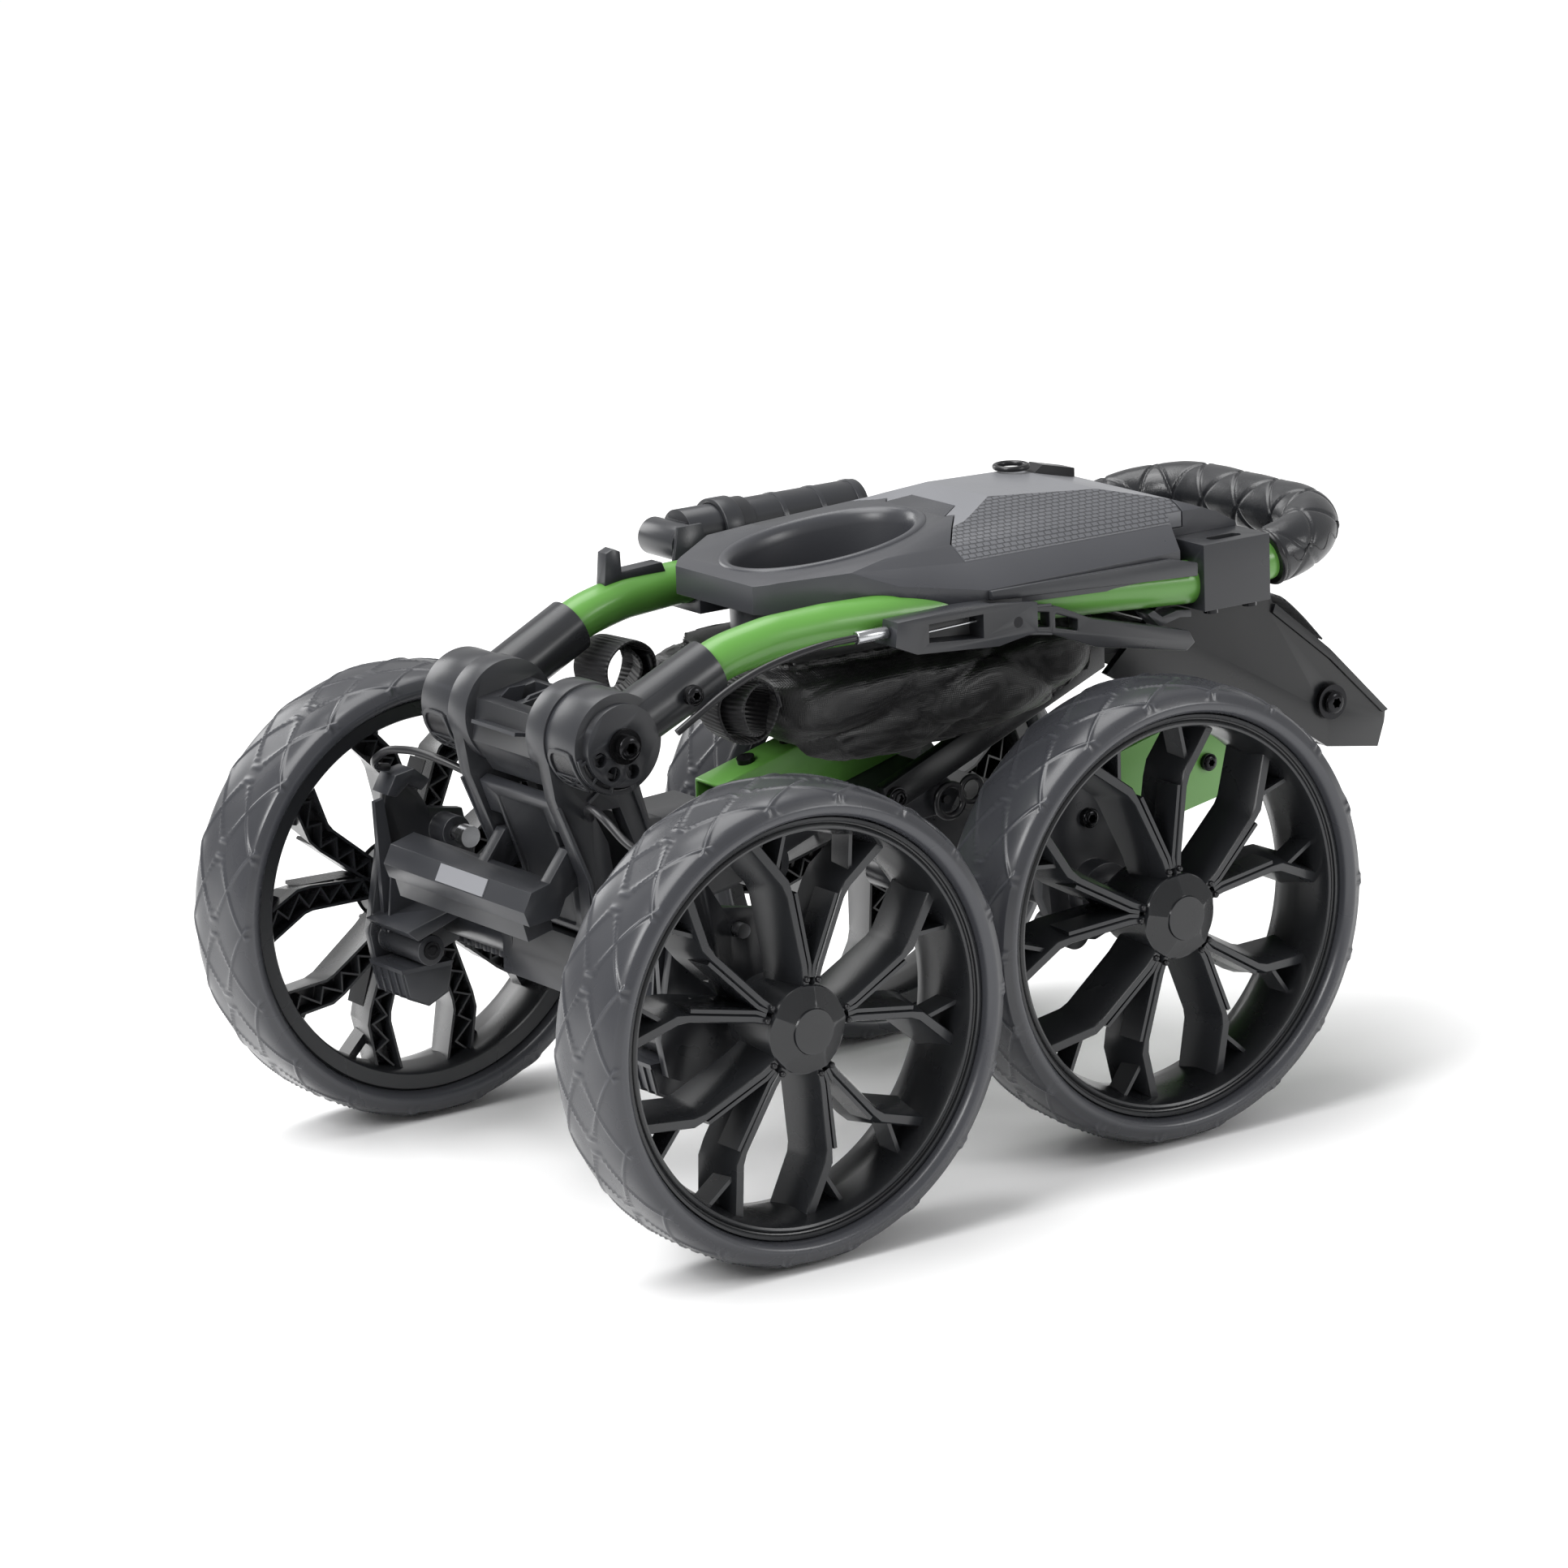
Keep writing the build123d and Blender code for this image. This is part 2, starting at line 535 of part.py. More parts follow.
def lever_housing(tube_room):
    """Parking-brake housing on the right-hand tube, with a cable window and a forked end."""
    body = slab([(-8, 290), (-6, 303), (40, 304), (62, 303), (86, 300), (86, 284), (60, 280), (6, 284)],
                -106, -82)
    body -= slab([(14, 299), (50, 299), (50, 286), (14, 289)], -107, -93)
    body -= block(57, 100, -LEVER_Y1 - 0.5, -LEVER_Y0 + 0.5, 270, 310)
    body -= block(-20, 100, -92.3, -80, 296.8, 310)
    body -= tube_room
    body -= span_y(3.0, LEVER_X, LEVER_Z, -110, -89.3)
    return body, span_y(3.0, LEVER_X, LEVER_Z, -106, -90.5)


def brake_lever():
    """Parking-brake lever with cut-outs near its pivot and a long finger blade."""
    blade = slab([(66, 299), (80, 299), (104, 294), (126, 284), (192, 267), (196, 260), (190, 256),
                  (128, 268), (98, 280), (66, 283)], -LEVER_Y1, -LEVER_Y0)
    for window in ([(84, 294), (97, 292), (97, 284), (84, 286)], [(101, 290.5), (116, 285), (116, 279), (101, 283)]):
        blade -= slab(window, -110, -80)
    return blade - span_y(3.0 + RUNNING, LEVER_X, LEVER_Z, -110, -80)


def lever_cable():
    """Outer cable along the handle tube, with the metal ferrule where it enters the housing."""
    rod = cable("lever cable", LEVER_CABLE, 2.0)
    ferrule = Pos(-18.1, -98, 297) * Rot(0, 90, 0) * Cylinder(3.4, 19.6)
    return rod, ferrule


def accessory_bag():
    """Closed soft bag under the console, parted over the beam."""
    middle = slab([(-62, 236), (-20, 226), (30, 237), (110, 256), (150, 268), (168, 280), (168, 283),
                   (-62, 283)], -54, 54)
    lobe = slab([(-62, 262), (-44, 240), (-18, 229), (60, 221), (90, 221), (130, 233), (160, 250), (168, 272),
                 (168, 279), (-62, 281)], 54, 76)
    return middle + lobe + mirrored(lobe)


def bag_straps():
    """Two webbing loops at the rear of the bag."""
    loops = []
    for side in (-1, 1):
        y = 60.0 * side
        outer = Pos(-77, y, 261) * Rot(90, 0, 0) * Cylinder(18, 26)
        inner = Pos(-77, y, 261) * Rot(90, 0, 0) * Cylinder(15, 30)
        trim = block(-62.2, -40, y - 20, y + 20, 230, 300)
        loops.append(outer - inner - trim)
    return group(*loops)


def umbrella_base(tube_room):
    """Socket clamped on the left-hand tube that the umbrella holder turns in."""
    clamp_block = block(-20, 8, 58, 87.8, 283, 300.5)
    ear = slab([(-20, 292), (8, 292), (2, 326), (-14, 326)], 85.6, 88.2)
    pin = span_y(5.0, -6, UMBRELLA_Z, 88.1, UMBRELLA_Y + 13)
    return clamp_block + ear + pin - tube_room


def umbrella_holder():
    """Round umbrella tube, open at its far end."""
    length = UMBRELLA_X1 - UMBRELLA_X0
    middle = (UMBRELLA_X0 + UMBRELLA_X1) / 2
    tube = Pos(middle, UMBRELLA_Y, UMBRELLA_Z) * Rot(0, 90, 0) * Cylinder(UMBRELLA_R, length)
    tube -= Pos(middle + 14, UMBRELLA_Y, UMBRELLA_Z) * Rot(0, 90, 0) * Cylinder(UMBRELLA_R - 3, length)
    knuckle = span_y(10.5, -6, UMBRELLA_Z, 88.6, UMBRELLA_Y + 12)
    neck = block(-6, UMBRELLA_X0 + 1, UMBRELLA_Y - 9, UMBRELLA_Y + 9, UMBRELLA_Z - 9, UMBRELLA_Z + 9)
    return tube + knuckle + neck - span_y(5.0 + RUNNING, -6, UMBRELLA_Z, 80, 130)


def umbrella_collar():
    """Clamp band round the umbrella tube."""
    band = Pos(30, UMBRELLA_Y, UMBRELLA_Z) * Rot(0, 90, 0) * Cylinder(UMBRELLA_R + 3, 12)
    band += Pos(40, UMBRELLA_Y, UMBRELLA_Z) * Rot(0, 90, 0) * Cylinder(UMBRELLA_R + 1.6, 10)
    return band - Pos(30, UMBRELLA_Y, UMBRELLA_Z) * Rot(0, 90, 0) * Cylinder(UMBRELLA_R, 60)


def tube_clip(tube_room):
    """Short upright clip on the left-hand tube."""
    foot = slab([(-70, 312.6), (-40, 314), (-38, 309), (-38, 304), (-78, 302)], 64, 74)
    post = slab([(-78, 302), (-66, 303), (-67, 324), (-71, 326), (-76, 324)], 64, 72)
    return foot + post - tube_room


# --- front fork ---------------------------------------------------------------------
def fork_arm():
    """Green channel from the front axle carrier to the fold hinge."""
    arm = slab([(166, 126), (172, 172), (238, 188), (288, 186), (286, 150), (281, 144), (253, 139)], -17.0, 17.0)
    arm -= slab([(150, 130.5), (150, 160), (173, 167), (238, 183.5), (300, 181.5), (300, 152), (284, 150),
                 (279, 148), (253, 143.3), (166, 130.5)], -13.5, 13.5)
    return arm


def fork_hinge():
    """Black knuckle riveted inside the arm's end, bored for the fork pin."""
    barrel = span_y(13.0, FORK_X, FORK_Z, -BOX_Y0 + 8.6, BOX_Y0 - 8.6)
    web = slab([(262, 152), (262, 180), (290, 180.5), (326, 206), (342, 203), (338, 184), (300, 162),
                (286, 153.5)], -13.3, 13.3)
    return barrel + web - span_y(AXLE_R + RUNNING, FORK_X, FORK_Z, -60, 60)


def fork_carrier():
    """Moulded carrier for the front axle, with a cheek plate beside each wheel."""
    beam = span_y(17.0, FRONT_X, AXLE_Z, -92.0, 92.0)
    cheek = slab([(106, 158), (112, 178), (124, 188), (140, 186), (160, 160), (170, 130), (164, 106), (140, 98),
                  (114, 104), (104, 128)], 72.0, 80.0)
    cheek += span_y(9.0, 118, 108, 64.0, 92.0)
    nose = slab([(150, 132), (150, 158), (173, 164.5), (205, 173), (205, 138), (166, 132)], -13.3, 13.3)
    wing = slab([(122, 120), (116, 160), (134, 174), (156, 150), (160, 118)], -72.0, 72.0)
    body = beam + cheek + mirrored(cheek) + nose + wing
    return body - span_y(AXLE_R, FRONT_X, AXLE_Z, -100, 100)


def fork_fasteners():
    """Bolts on the cheek plates and through the arm."""
    heads = []
    for side in (-1, 1):
        heads.append(span_y(5.5, 136, 168, side * 80.0, side * 83.2))
        heads.append(span_y(5.0, 270, 165, side * 17.0, side * 19.6))
    return group(*heads)


def axle_rod(x, track):
    """Plain axle from one wheel's cap to the other's."""
    half = track + 20.8   # ends just inside the caps
    return span_y(AXLE_R, x, AXLE_Z, -half, half)


# --- everything ---------------------------------------------------------------------
def build_chassis():
    save("rear_casting", rear_casting())
    save("casting_cover", casting_cover())
    save("rear_axle_tube", rear_axle_tube())
    save("rear_axle_rod", axle_rod(REAR_X, REAR_TRACK))
    bracket, shoe = brake_bracket(), brake_shoe()
    save("brake_bracket_left", bracket)
    save("brake_bracket_right", mirrored(bracket))
    save("brake_shoe_left", shoe)
    save("brake_shoe_right", mirrored(shoe))
    pin = brake_pin()
    save("brake_pin_left", pin)
    save("brake_pin_right", mirrored(pin))
    save("main_beam", main_beam())
    save("beam_box", beam_box())
    save("beam_struts", beam_struts())
    save("strut_bracket", strut_bracket())
    save("strap_hook", strap_hook())
    save("beam_fasteners", beam_fasteners())
    save("pivot_pins", group(pivot_bolts(), fork_pin(), pedal_pins()))
    save("brake_cables", brake_cables())
    save("rear_foot", rear_foot())
    save("front_net", front_net())
    save("release_pedal", release_pedal())


def build_handle():
    hub = socket_hub()
    save("socket_hub_left", hub)
    save("socket_hub_right", mirrored(hub))
    save("handle_tube", handle_tube())
    save("grip", grip())
    envelope = console_envelope()
    tube_room = handle_tube(0.1)
    save("console_tray", console_tray(envelope, tube_room))
    save("cup_bowl", cup_bowl())
    save("console_lid", console_lid(envelope))
    save("cord_clip", group(*cord_clip()))
    skirt = console_skirt()
    save("console_skirts", group(skirt, mirrored(skirt)))
    body, screws = clamp(tube_room)
    save("clamp_boxes", group(body, mirrored(body)))
    housing, lever_pin = lever_housing(tube_room)
    save("lever_housing", housing)
    save("handle_fasteners", group(hub_screws(), screws, mirrored(screws), lever_pin))
    save("brake_lever", brake_lever())
    rod, ferrule = lever_cable()
    save("lever_cable", rod)
    save("cable_ferrule", ferrule)
    save("accessory_bag", accessory_bag())
    save("bag_straps", bag_straps())
    save("umbrella_base", umbrella_base(tube_room))
    save("umbrella_holder", umbrella_holder())
    save("umbrella_collar", umbrella_collar())
    save("tube_clips", group(tube_clip(tube_room), tube_latch()))


def build_fork():
    save("fork_arm", fork_arm())
    save("fork_hinge", fork_hinge())
    save("fork_carrier", fork_carrier())
    save("fork_fasteners", fork_fasteners())
    save("front_axle_rod", axle_rod(FRONT_X, FRONT_TRACK))


build_wheels()
build_chassis()
build_handle()
build_fork()
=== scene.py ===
"""Looks of a folded four-wheel golf trolley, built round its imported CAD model.

Sizes are in millimetres about the point on the floor midway between the two axles, as a
fitter would measure them, and Surface.to_piece() turns them into metres in the part's own
frame. A piece is a closed surface worked out with numpy, or a merged copy of a CAD node
with its edges rounded, and it rides on the CAD body that carries it.
"""
import json
import logging
import math
from dataclasses import dataclass, field
from enum import Enum

import bmesh
import bpy
import numpy as np
from mathutils import Matrix, Vector
from mathutils.bvhtree import BVHTree


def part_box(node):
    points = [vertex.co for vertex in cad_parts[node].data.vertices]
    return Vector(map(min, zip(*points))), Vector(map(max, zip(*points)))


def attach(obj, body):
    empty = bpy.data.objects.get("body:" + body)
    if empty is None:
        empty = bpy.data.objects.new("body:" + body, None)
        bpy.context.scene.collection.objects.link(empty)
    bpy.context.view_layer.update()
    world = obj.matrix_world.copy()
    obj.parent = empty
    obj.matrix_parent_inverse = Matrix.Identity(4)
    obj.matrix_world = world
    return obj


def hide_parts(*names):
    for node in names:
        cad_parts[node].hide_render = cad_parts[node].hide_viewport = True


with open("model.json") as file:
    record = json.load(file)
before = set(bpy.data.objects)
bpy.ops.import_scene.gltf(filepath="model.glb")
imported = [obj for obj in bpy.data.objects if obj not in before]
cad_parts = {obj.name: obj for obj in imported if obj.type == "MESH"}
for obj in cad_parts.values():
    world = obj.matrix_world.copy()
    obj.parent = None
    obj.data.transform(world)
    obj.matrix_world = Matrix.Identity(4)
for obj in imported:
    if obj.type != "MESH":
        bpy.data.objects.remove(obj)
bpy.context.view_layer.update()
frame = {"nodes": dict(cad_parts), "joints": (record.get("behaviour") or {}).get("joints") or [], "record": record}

log = logging.getLogger("trolley")
MM = 0.001
TAU = 2.0 * math.pi
ACROSS = np.array([0.0, 1.0, 0.0])
UP = np.array([0.0, 0.0, 1.0])
NODES: dict[str, bpy.types.Object] = frame["nodes"]
JOINTS: dict[str, dict] = {joint["name"]: joint for joint in frame["joints"]}
SLOT_OF: dict[str, str] = {
    part["node"]: part["material_slot"] for part in frame["record"]["subparts"]
}
BODY_OF: dict[str, str] = {
    node: body for body, members in frame["record"]["behaviour"]["bodies"].items() for node in members
}
AXLE_MIDDLE_X = 0.5 * (JOINTS["spin_rear_right"]["pos_m"][0] + JOINTS["spin_front_right"]["pos_m"][0])

DRIFT_PER_METRE = 22.0  # how fast a finish's colour and gloss drift over a piece
EDGE_HIGHLIGHT_GAIN = 2.6         # how much lighter the painted highlight makes the sharpest convex edges
COLOUR_A, COLOUR_B, BLEND = 6, 7, 2  # the colour sockets of a Mix node: its two inputs and its result


# --- finishes -------------------------------------------------------------------------
def linear(hex_code: str, gain: float = 1.0) -> tuple[float, float, float, float]:
    """Turn an sRGB hex colour into linear light.

    Each channel c becomes ((c + 0.055) / 1.055) ** 2.4 above 0.04045, and c / 12.92 below.

    Args:
        hex_code: six hex digits, red first.
        gain: factor on the linear value.

    Returns:
        Linear red, green, blue and an alpha of one.
    """
    channels = [int(hex_code[i:i + 2], 16) / 255 for i in (0, 2, 4)]
    light = [((c + 0.055) / 1.055) ** 2.4 if c > 0.04045 else c / 12.92 for c in channels]
    return (*(min(1.0, gain * value) for value in light), 1.0)


def add_node(tree: bpy.types.NodeTree, kind: str, inputs: dict | None = None, **settings) -> bpy.types.Node:
    """Add one shader node with its settings and links.

    Args:
        tree: the node tree to add to.
        kind: the node's type name.
        inputs: socket name or index to a value, or to the socket that feeds it.
        **settings: the node's own properties.

    Returns:
        The new node.
    """
    node = tree.nodes.new(kind)
    for key, value in settings.items():
        setattr(node, key, value)
    for key, value in (inputs or {}).items():
        if isinstance(value, bpy.types.NodeSocket):
            tree.links.new(value, node.inputs[key])
        else:
            node.inputs[key].default_value = value
    return node


class Pattern(Enum):
    """The fine relief that a finish carries."""

    NONE = "none"
    WEAVE = "weave"        # plain weave, on the piece's own UV map or on Object coordinates
    RIBS = "ribs"          # cross ribs of webbing, along U
    CELLS = "cells"        # staggered moulded cells
    NET = "net"            # open mesh drawn as dark holes


@dataclass(frozen=True)
class Finish:
    """A surface as a maker would order it.

    Sizes are real: grain_mm and pitch_mm are the spacing of what the eye sees.
    """

    name: str
    colour: str
    roughness: float
    metallic: float = 0.0
    mottle: float = 0.08         # share by which the colour drifts over a hand's width
    grain_mm: float = 0.7
    grain_depth_mm: float = 0.03
    edge_highlight: float = 0.0            # how much convex edges are painted lighter as a highlight
    sheen: float = 0.0
    coat: float = 0.0
    pattern: Pattern = Pattern.NONE
    pitch_mm: float = 1.0
    pattern_depth_mm: float = 0.1
    pattern_shade: float = 0.25  # how much the pattern's hollows are darkened, as painted shade
    use_uv: bool = False

    def build(self) -> bpy.types.Material:
        """Make the material's node tree.

        The colour drifts with a slow noise, is darkened in the hollows of the pattern as painted shade, and is
        lightened on convex edges as a painted highlight; grain and pattern are stacked as relief.

        Returns:
            The new material.
        """
        material = bpy.data.materials.new(self.name)
        material.use_nodes = True
        tree = material.node_tree
        tree.nodes.clear()
        place = add_node(tree, "ShaderNodeTexCoord")
        drift = add_node(tree, "ShaderNodeTexNoise", {
            "Vector": place.outputs["Object"], "Scale": DRIFT_PER_METRE, "Detail": 4.0})
        base = add_node(tree, "ShaderNodeMix", {
            "Factor": drift.outputs["Fac"], COLOUR_A: linear(self.colour, 1 - self.mottle),
            COLOUR_B: linear(self.colour, 1 + self.mottle)}, data_type="RGBA")
        colour = base.outputs[BLEND]
        grain = add_node(tree, "ShaderNodeTexNoise", {
            "Vector": place.outputs["Object"], "Scale": 1 / (self.grain_mm * MM), "Detail": 3.0,
            "Roughness": 0.6})
        relief = add_node(tree, "ShaderNodeBump", {
            "Height": grain.outputs["Fac"], "Distance": self.grain_depth_mm * MM, "Strength": 1.0})
        if self.pattern is not Pattern.NONE:
            height = self.pattern_height(tree, place.outputs["UV" if self.use_uv else "Object"])
            relief = add_node(tree, "ShaderNodeBump", {
                "Height": height, "Distance": self.pattern_depth_mm * MM, "Normal": relief.outputs["Normal"]})
            # painted shade: the pattern's hollows are drawn darker
            shaded = add_node(tree, "ShaderNodeMix", {
                "Factor": height, COLOUR_A: linear(self.colour, 1 - self.pattern_shade), COLOUR_B: colour},
                data_type="RGBA")
            colour = shaded.outputs[BLEND]
        # painted highlight: convex edges, found by pointiness, are drawn lighter
        if self.edge_highlight:
            edge = add_node(tree, "ShaderNodeNewGeometry")
            highlight_share = add_node(tree, "ShaderNodeMapRange", {
                "Value": edge.outputs["Pointiness"], "From Min": 0.51, "From Max": 0.57, "To Max": self.edge_highlight})
            highlighted = add_node(tree, "ShaderNodeMix", {
                "Factor": highlight_share.outputs["Result"], COLOUR_A: colour,
                COLOUR_B: linear(self.colour, EDGE_HIGHLIGHT_GAIN)}, data_type="RGBA")
            colour = highlighted.outputs[BLEND]
        polish = add_node(tree, "ShaderNodeMapRange", {
            "Value": drift.outputs["Fac"], "From Min": 0.3, "From Max": 0.7,
            "To Min": max(0.05, self.roughness - 0.05), "To Max": self.roughness + 0.06})
        shader = add_node(tree, "ShaderNodeBsdfPrincipled", {
            "Base Color": colour, "Roughness": polish.outputs["Result"], "Metallic": self.metallic,
            "Normal": relief.outputs["Normal"]})
        if self.sheen:
            shader.inputs["Sheen Weight"].default_value = self.sheen
            shader.inputs["Sheen Roughness"].default_value = 0.4
        if self.coat:
            shader.inputs["Coat Weight"].default_value = self.coat
            shader.inputs["Coat Roughness"].default_value = 0.12
        add_node(tree, "ShaderNodeOutputMaterial", {"Surface": shader.outputs["BSDF"]})
        return material

    def pattern_height(self, tree: bpy.types.NodeTree, spot: bpy.types.NodeSocket) -> bpy.types.NodeSocket:
        """Draw the finish's pattern as a height from 0 to 1.

        Args:
            tree: the material's node tree.
            spot: coordinates in metres.

        Returns:
            The socket that holds the height.
        """
        per_metre = 1 / (self.pitch_mm * MM)
        if self.pattern is Pattern.CELLS:
            cells = add_node(tree, "ShaderNodeTexBrick", {
                "Vector": spot, "Scale": per_metre, "Mortar Size": 0.09, "Mortar Smooth": 0.6,
                "Brick Width": 1.0, "Row Height": 0.62}, offset=0.5)
            flipped = add_node(tree, "ShaderNodeMath", {0: 1.0, 1: cells.outputs["Fac"]},
                               operation="SUBTRACT")
            return flipped.outputs[0]
        if self.pattern is Pattern.NET:
            holes = add_node(tree, "ShaderNodeTexVoronoi", {
                "Vector": spot, "Scale": per_metre, "Randomness": 0.0})
            ringed = add_node(tree, "ShaderNodeMapRange", {
                "Value": holes.outputs["Distance"], "From Min": 0.28, "From Max": 0.42})
            return ringed.outputs["Result"]
        # a wave repeats every 2 pi / 20 of its scaled coordinate, so the scale carries pi / 10
        axes = ("X",) if self.pattern is Pattern.RIBS else ("X", "Y", "Z")
        bands = [add_node(tree, "ShaderNodeTexWave", {"Vector": spot, "Scale": per_metre * math.pi / 10},
                          bands_direction=axis).outputs["Fac"] for axis in axes]
        height = bands[0]
        for band in bands[1:]:
            height = add_node(tree, "ShaderNodeMath", {0: height, 1: band}, operation="MULTIPLY").outputs[0]
        if len(bands) > 1:
            height = add_node(tree, "ShaderNodeMath", {0: height, 1: 0.4}, operation="POWER").outputs[0]
        return height


# Moulded nylon: satin charcoal with a fine spark-eroded grain, convex edges painted a little lighter as a
# highlight.
CHARCOAL = Finish("moulded_nylon", "232427", 0.31, mottle=0.10, grain_mm=0.5, grain_depth_mm=0.012, edge_highlight=0.5)
# EVA foam tyre: mid grey, waxy satin skin that catches soft light along its ribs, with a highlight painted lighter
# on their crests.
TYRE = Finish("eva_foam", "35363A", 0.27, mottle=0.10, grain_mm=1.6, grain_depth_mm=0.02, edge_highlight=0.5)
# Glass-filled nylon wheel: darker and a little glossier than the frame mouldings, its convex edges painted lighter
# as a highlight.
WHEEL = Finish("glass_filled_nylon", "191A1C", 0.27, mottle=0.10, grain_mm=0.6, grain_depth_mm=0.008,
               edge_highlight=0.5)
# Powder coat over aluminium: fresh green with a very fine orange peel under a soft gloss.
GREEN = Finish("green_powder_coat", "5C9440", 0.34, mottle=0.05, grain_mm=1.4, grain_depth_mm=0.015,
               coat=0.15)
# Powder coat over steel plate: satin black, its convex edges painted lighter as a highlight.
BLACK = Finish("black_powder_coat", "0F1012", 0.30, mottle=0.08, grain_mm=1.2, grain_depth_mm=0.02, edge_highlight=0.5)
# Zinc-plated steel: bright grey metal with a faint cloudiness.
ZINC = Finish("zinc_plated_steel", "B9BABD", 0.26, metallic=1.0, mottle=0.08, grain_mm=0.4,
              grain_depth_mm=0.005)
# Black-oxide steel screws: dark, slightly oily metal.
OXIDE = Finish("black_oxide_steel", "222224", 0.22, metallic=0.8, mottle=0.12, grain_mm=0.4,
               grain_depth_mm=0.01)
# ABS lid: light cool grey, soft satin.
LID = Finish("grey_abs", "75767A", 0.32, mottle=0.05, grain_mm=0.5, grain_depth_mm=0.015)
# ABS lid flanks with staggered moulded cells 4.6 mm apart, in a grey painted darker than the lid's top as shade;
# the grooves between cells are painted darker still as shade.
LID_CELLS_SHADED = Finish("grey_abs_cells_shaded", "5A5B5F", 0.38, mottle=0.05, pattern=Pattern.CELLS, pitch_mm=4.6,
                   pattern_depth_mm=0.8, pattern_shade=0.5)
# ABS console base: a darker grey than the lid, its convex edges painted slightly lighter as a highlight.
TRAY = Finish("slate_abs", "3A3B3F", 0.31, mottle=0.06, grain_mm=0.6, grain_depth_mm=0.03, edge_highlight=0.15)
# Polyurethane leather: black, pebbled 1.1 mm grain, soft gloss.
LEATHER = Finish("polyurethane_leather", "202124", 0.29, mottle=0.12, grain_mm=1.1, grain_depth_mm=0.10,
                 sheen=0.08)
# Woven nylon: deep black, threads drawn 1.1 mm apart so that they show, with painted shade darkening the gaps
# between them.
NYLON = Finish("woven_nylon", "0A0A0C", 0.36, mottle=0.15, grain_mm=2.0, grain_depth_mm=0.08, sheen=0.12,
               pattern=Pattern.WEAVE, pitch_mm=1.1, pattern_depth_mm=0.12, pattern_shade=0.3)
# Polypropylene webbing: black with cross ribs 2.6 mm apart, the hollows between the ribs painted darker as shade.
WEBBING = Finish("ribbed_webbing", "1B1B1E", 0.5, mottle=0.12, sheen=0.15, pattern=Pattern.RIBS, pitch_mm=2.6,
                 pattern_depth_mm=0.5, pattern_shade=0.55, use_uv=True)
# Knitted mesh: dark grey threads round open holes 3.2 mm apart.
NET = Finish("knitted_mesh", "3C3C40", 0.6, mottle=0.15, sheen=0.2, pattern=Pattern.NET, pitch_mm=3.2,
             pattern_depth_mm=0.5, pattern_shade=0.85)
# Vinyl cable jacket: smooth glossy black.
JACKET = Finish("vinyl_jacket", "17171A", 0.30, mottle=0.08, grain_mm=0.8, grain_depth_mm=0.01)
# Satin foil patch: pale grey and blank.
FOIL = Finish("satin_foil", "808185", 0.3, mottle=0.04, grain_mm=0.5, grain_depth_mm=0.01)
# Matt painted board of the studio's floor: near white.
PALE_FLOOR = Finish("pale_floor", "FAFAFA", 0.8, mottle=0.01, grain_depth_mm=0.0)

SLOT_FINISH: dict[str, Finish] = {
    "charcoal_plastic": CHARCOAL, "tyre_foam": TYRE, "wheel_plastic": WHEEL, "green_paint": GREEN,
    "black_paint": BLACK, "steel": ZINC, "black_steel": OXIDE, "lid_plastic": LID, "console_plastic": TRAY,
    "leatherette": LEATHER, "bag_fabric": NYLON, "webbing": WEBBING, "mesh": NET, "cable_jacket": JACKET,
}


class Paintbox:
    """Builds each finish once and hands out its material."""

    def __init__(self) -> None:
        """Start with no material made."""
        self.made: dict[str, bpy.types.Material] = {}

    def get(self, finish: Finish) -> bpy.types.Material:
        """Hand out a finish's material, building it the first time.

        Args:
            finish: the finish wanted.

        Returns:
            Its material.
        """
        if finish.name not in self.made:
            self.made[finish.name] = finish.build()
        return self.made[finish.name]


PAINTS = Paintbox()


# --- surfaces -------------------------------------------------------------------------
@dataclass
class Surface:
    """A surface as arrays: points (n, 3) in millimetres, quads (k, 4), and end polygons."""

    points: np.ndarray
    quads: np.ndarray
    ends: list[np.ndarray] = field(default_factory=list)
    uv: np.ndarray | None = None

    def moved(self, x: float, y: float, z: float) -> "Surface":
        """Return the surface shifted by (x, y, z) millimetres."""
        return Surface(self.points + np.array([x, y, z]), self.quads, self.ends, self.uv)

    def turned(self, axis: str, angle: float) -> "Surface":
        """Return the surface turned by angle degrees about an axis through the origin."""
        spin = np.array(Matrix.Rotation(math.radians(angle), 3, axis))
        return Surface(self.points @ spin.T, self.quads, self.ends, self.uv)

    def mirrored(self) -> "Surface":
        """Return the surface on the other side of the trolley, with its faces the right way round."""
        flip = self.points * np.array([1.0, -1.0, 1.0])
        return Surface(flip, self.quads[:, ::-1], [end[::-1] for end in self.ends], self.uv)

    def to_piece(self, name: str, sharp: float = 35.0) -> bpy.types.Object:
        """Make the Blender object, in metres in the part's frame.

        Args:
            name: the object's name.
            sharp: edges that turn by more than this many degrees stay crisp.

        Returns:
            The new object, linked to the scene.
        """
        mesh = bpy.data.meshes.new(name)
        places = self.points * MM + np.array([AXLE_MIDDLE_X, 0.0, 0.0])
        faces = self.quads.tolist() + [end.tolist() for end in self.ends]
        mesh.from_pydata(places.tolist(), [], faces)
        if self.uv is not None:
            corners = np.zeros(len(mesh.loops), dtype=np.int64)
            mesh.loops.foreach_get("vertex_index", corners)
            layer = mesh.uv_layers.new(name="UVMap")
            layer.data.foreach_set("uv", (self.uv[corners] * MM).ravel().astype(np.float32))
        return finished(mesh, name, sharp)


def linked(name: str, data: bpy.types.ID) -> bpy.types.Object:
    """Make an object of a mesh, light or camera and put it in the scene.

    Args:
        name: the object's name.
        data: what the object holds.

    Returns:
        The new object.
    """
    thing = bpy.data.objects.new(name, data)
    bpy.context.scene.collection.objects.link(thing)
    return thing


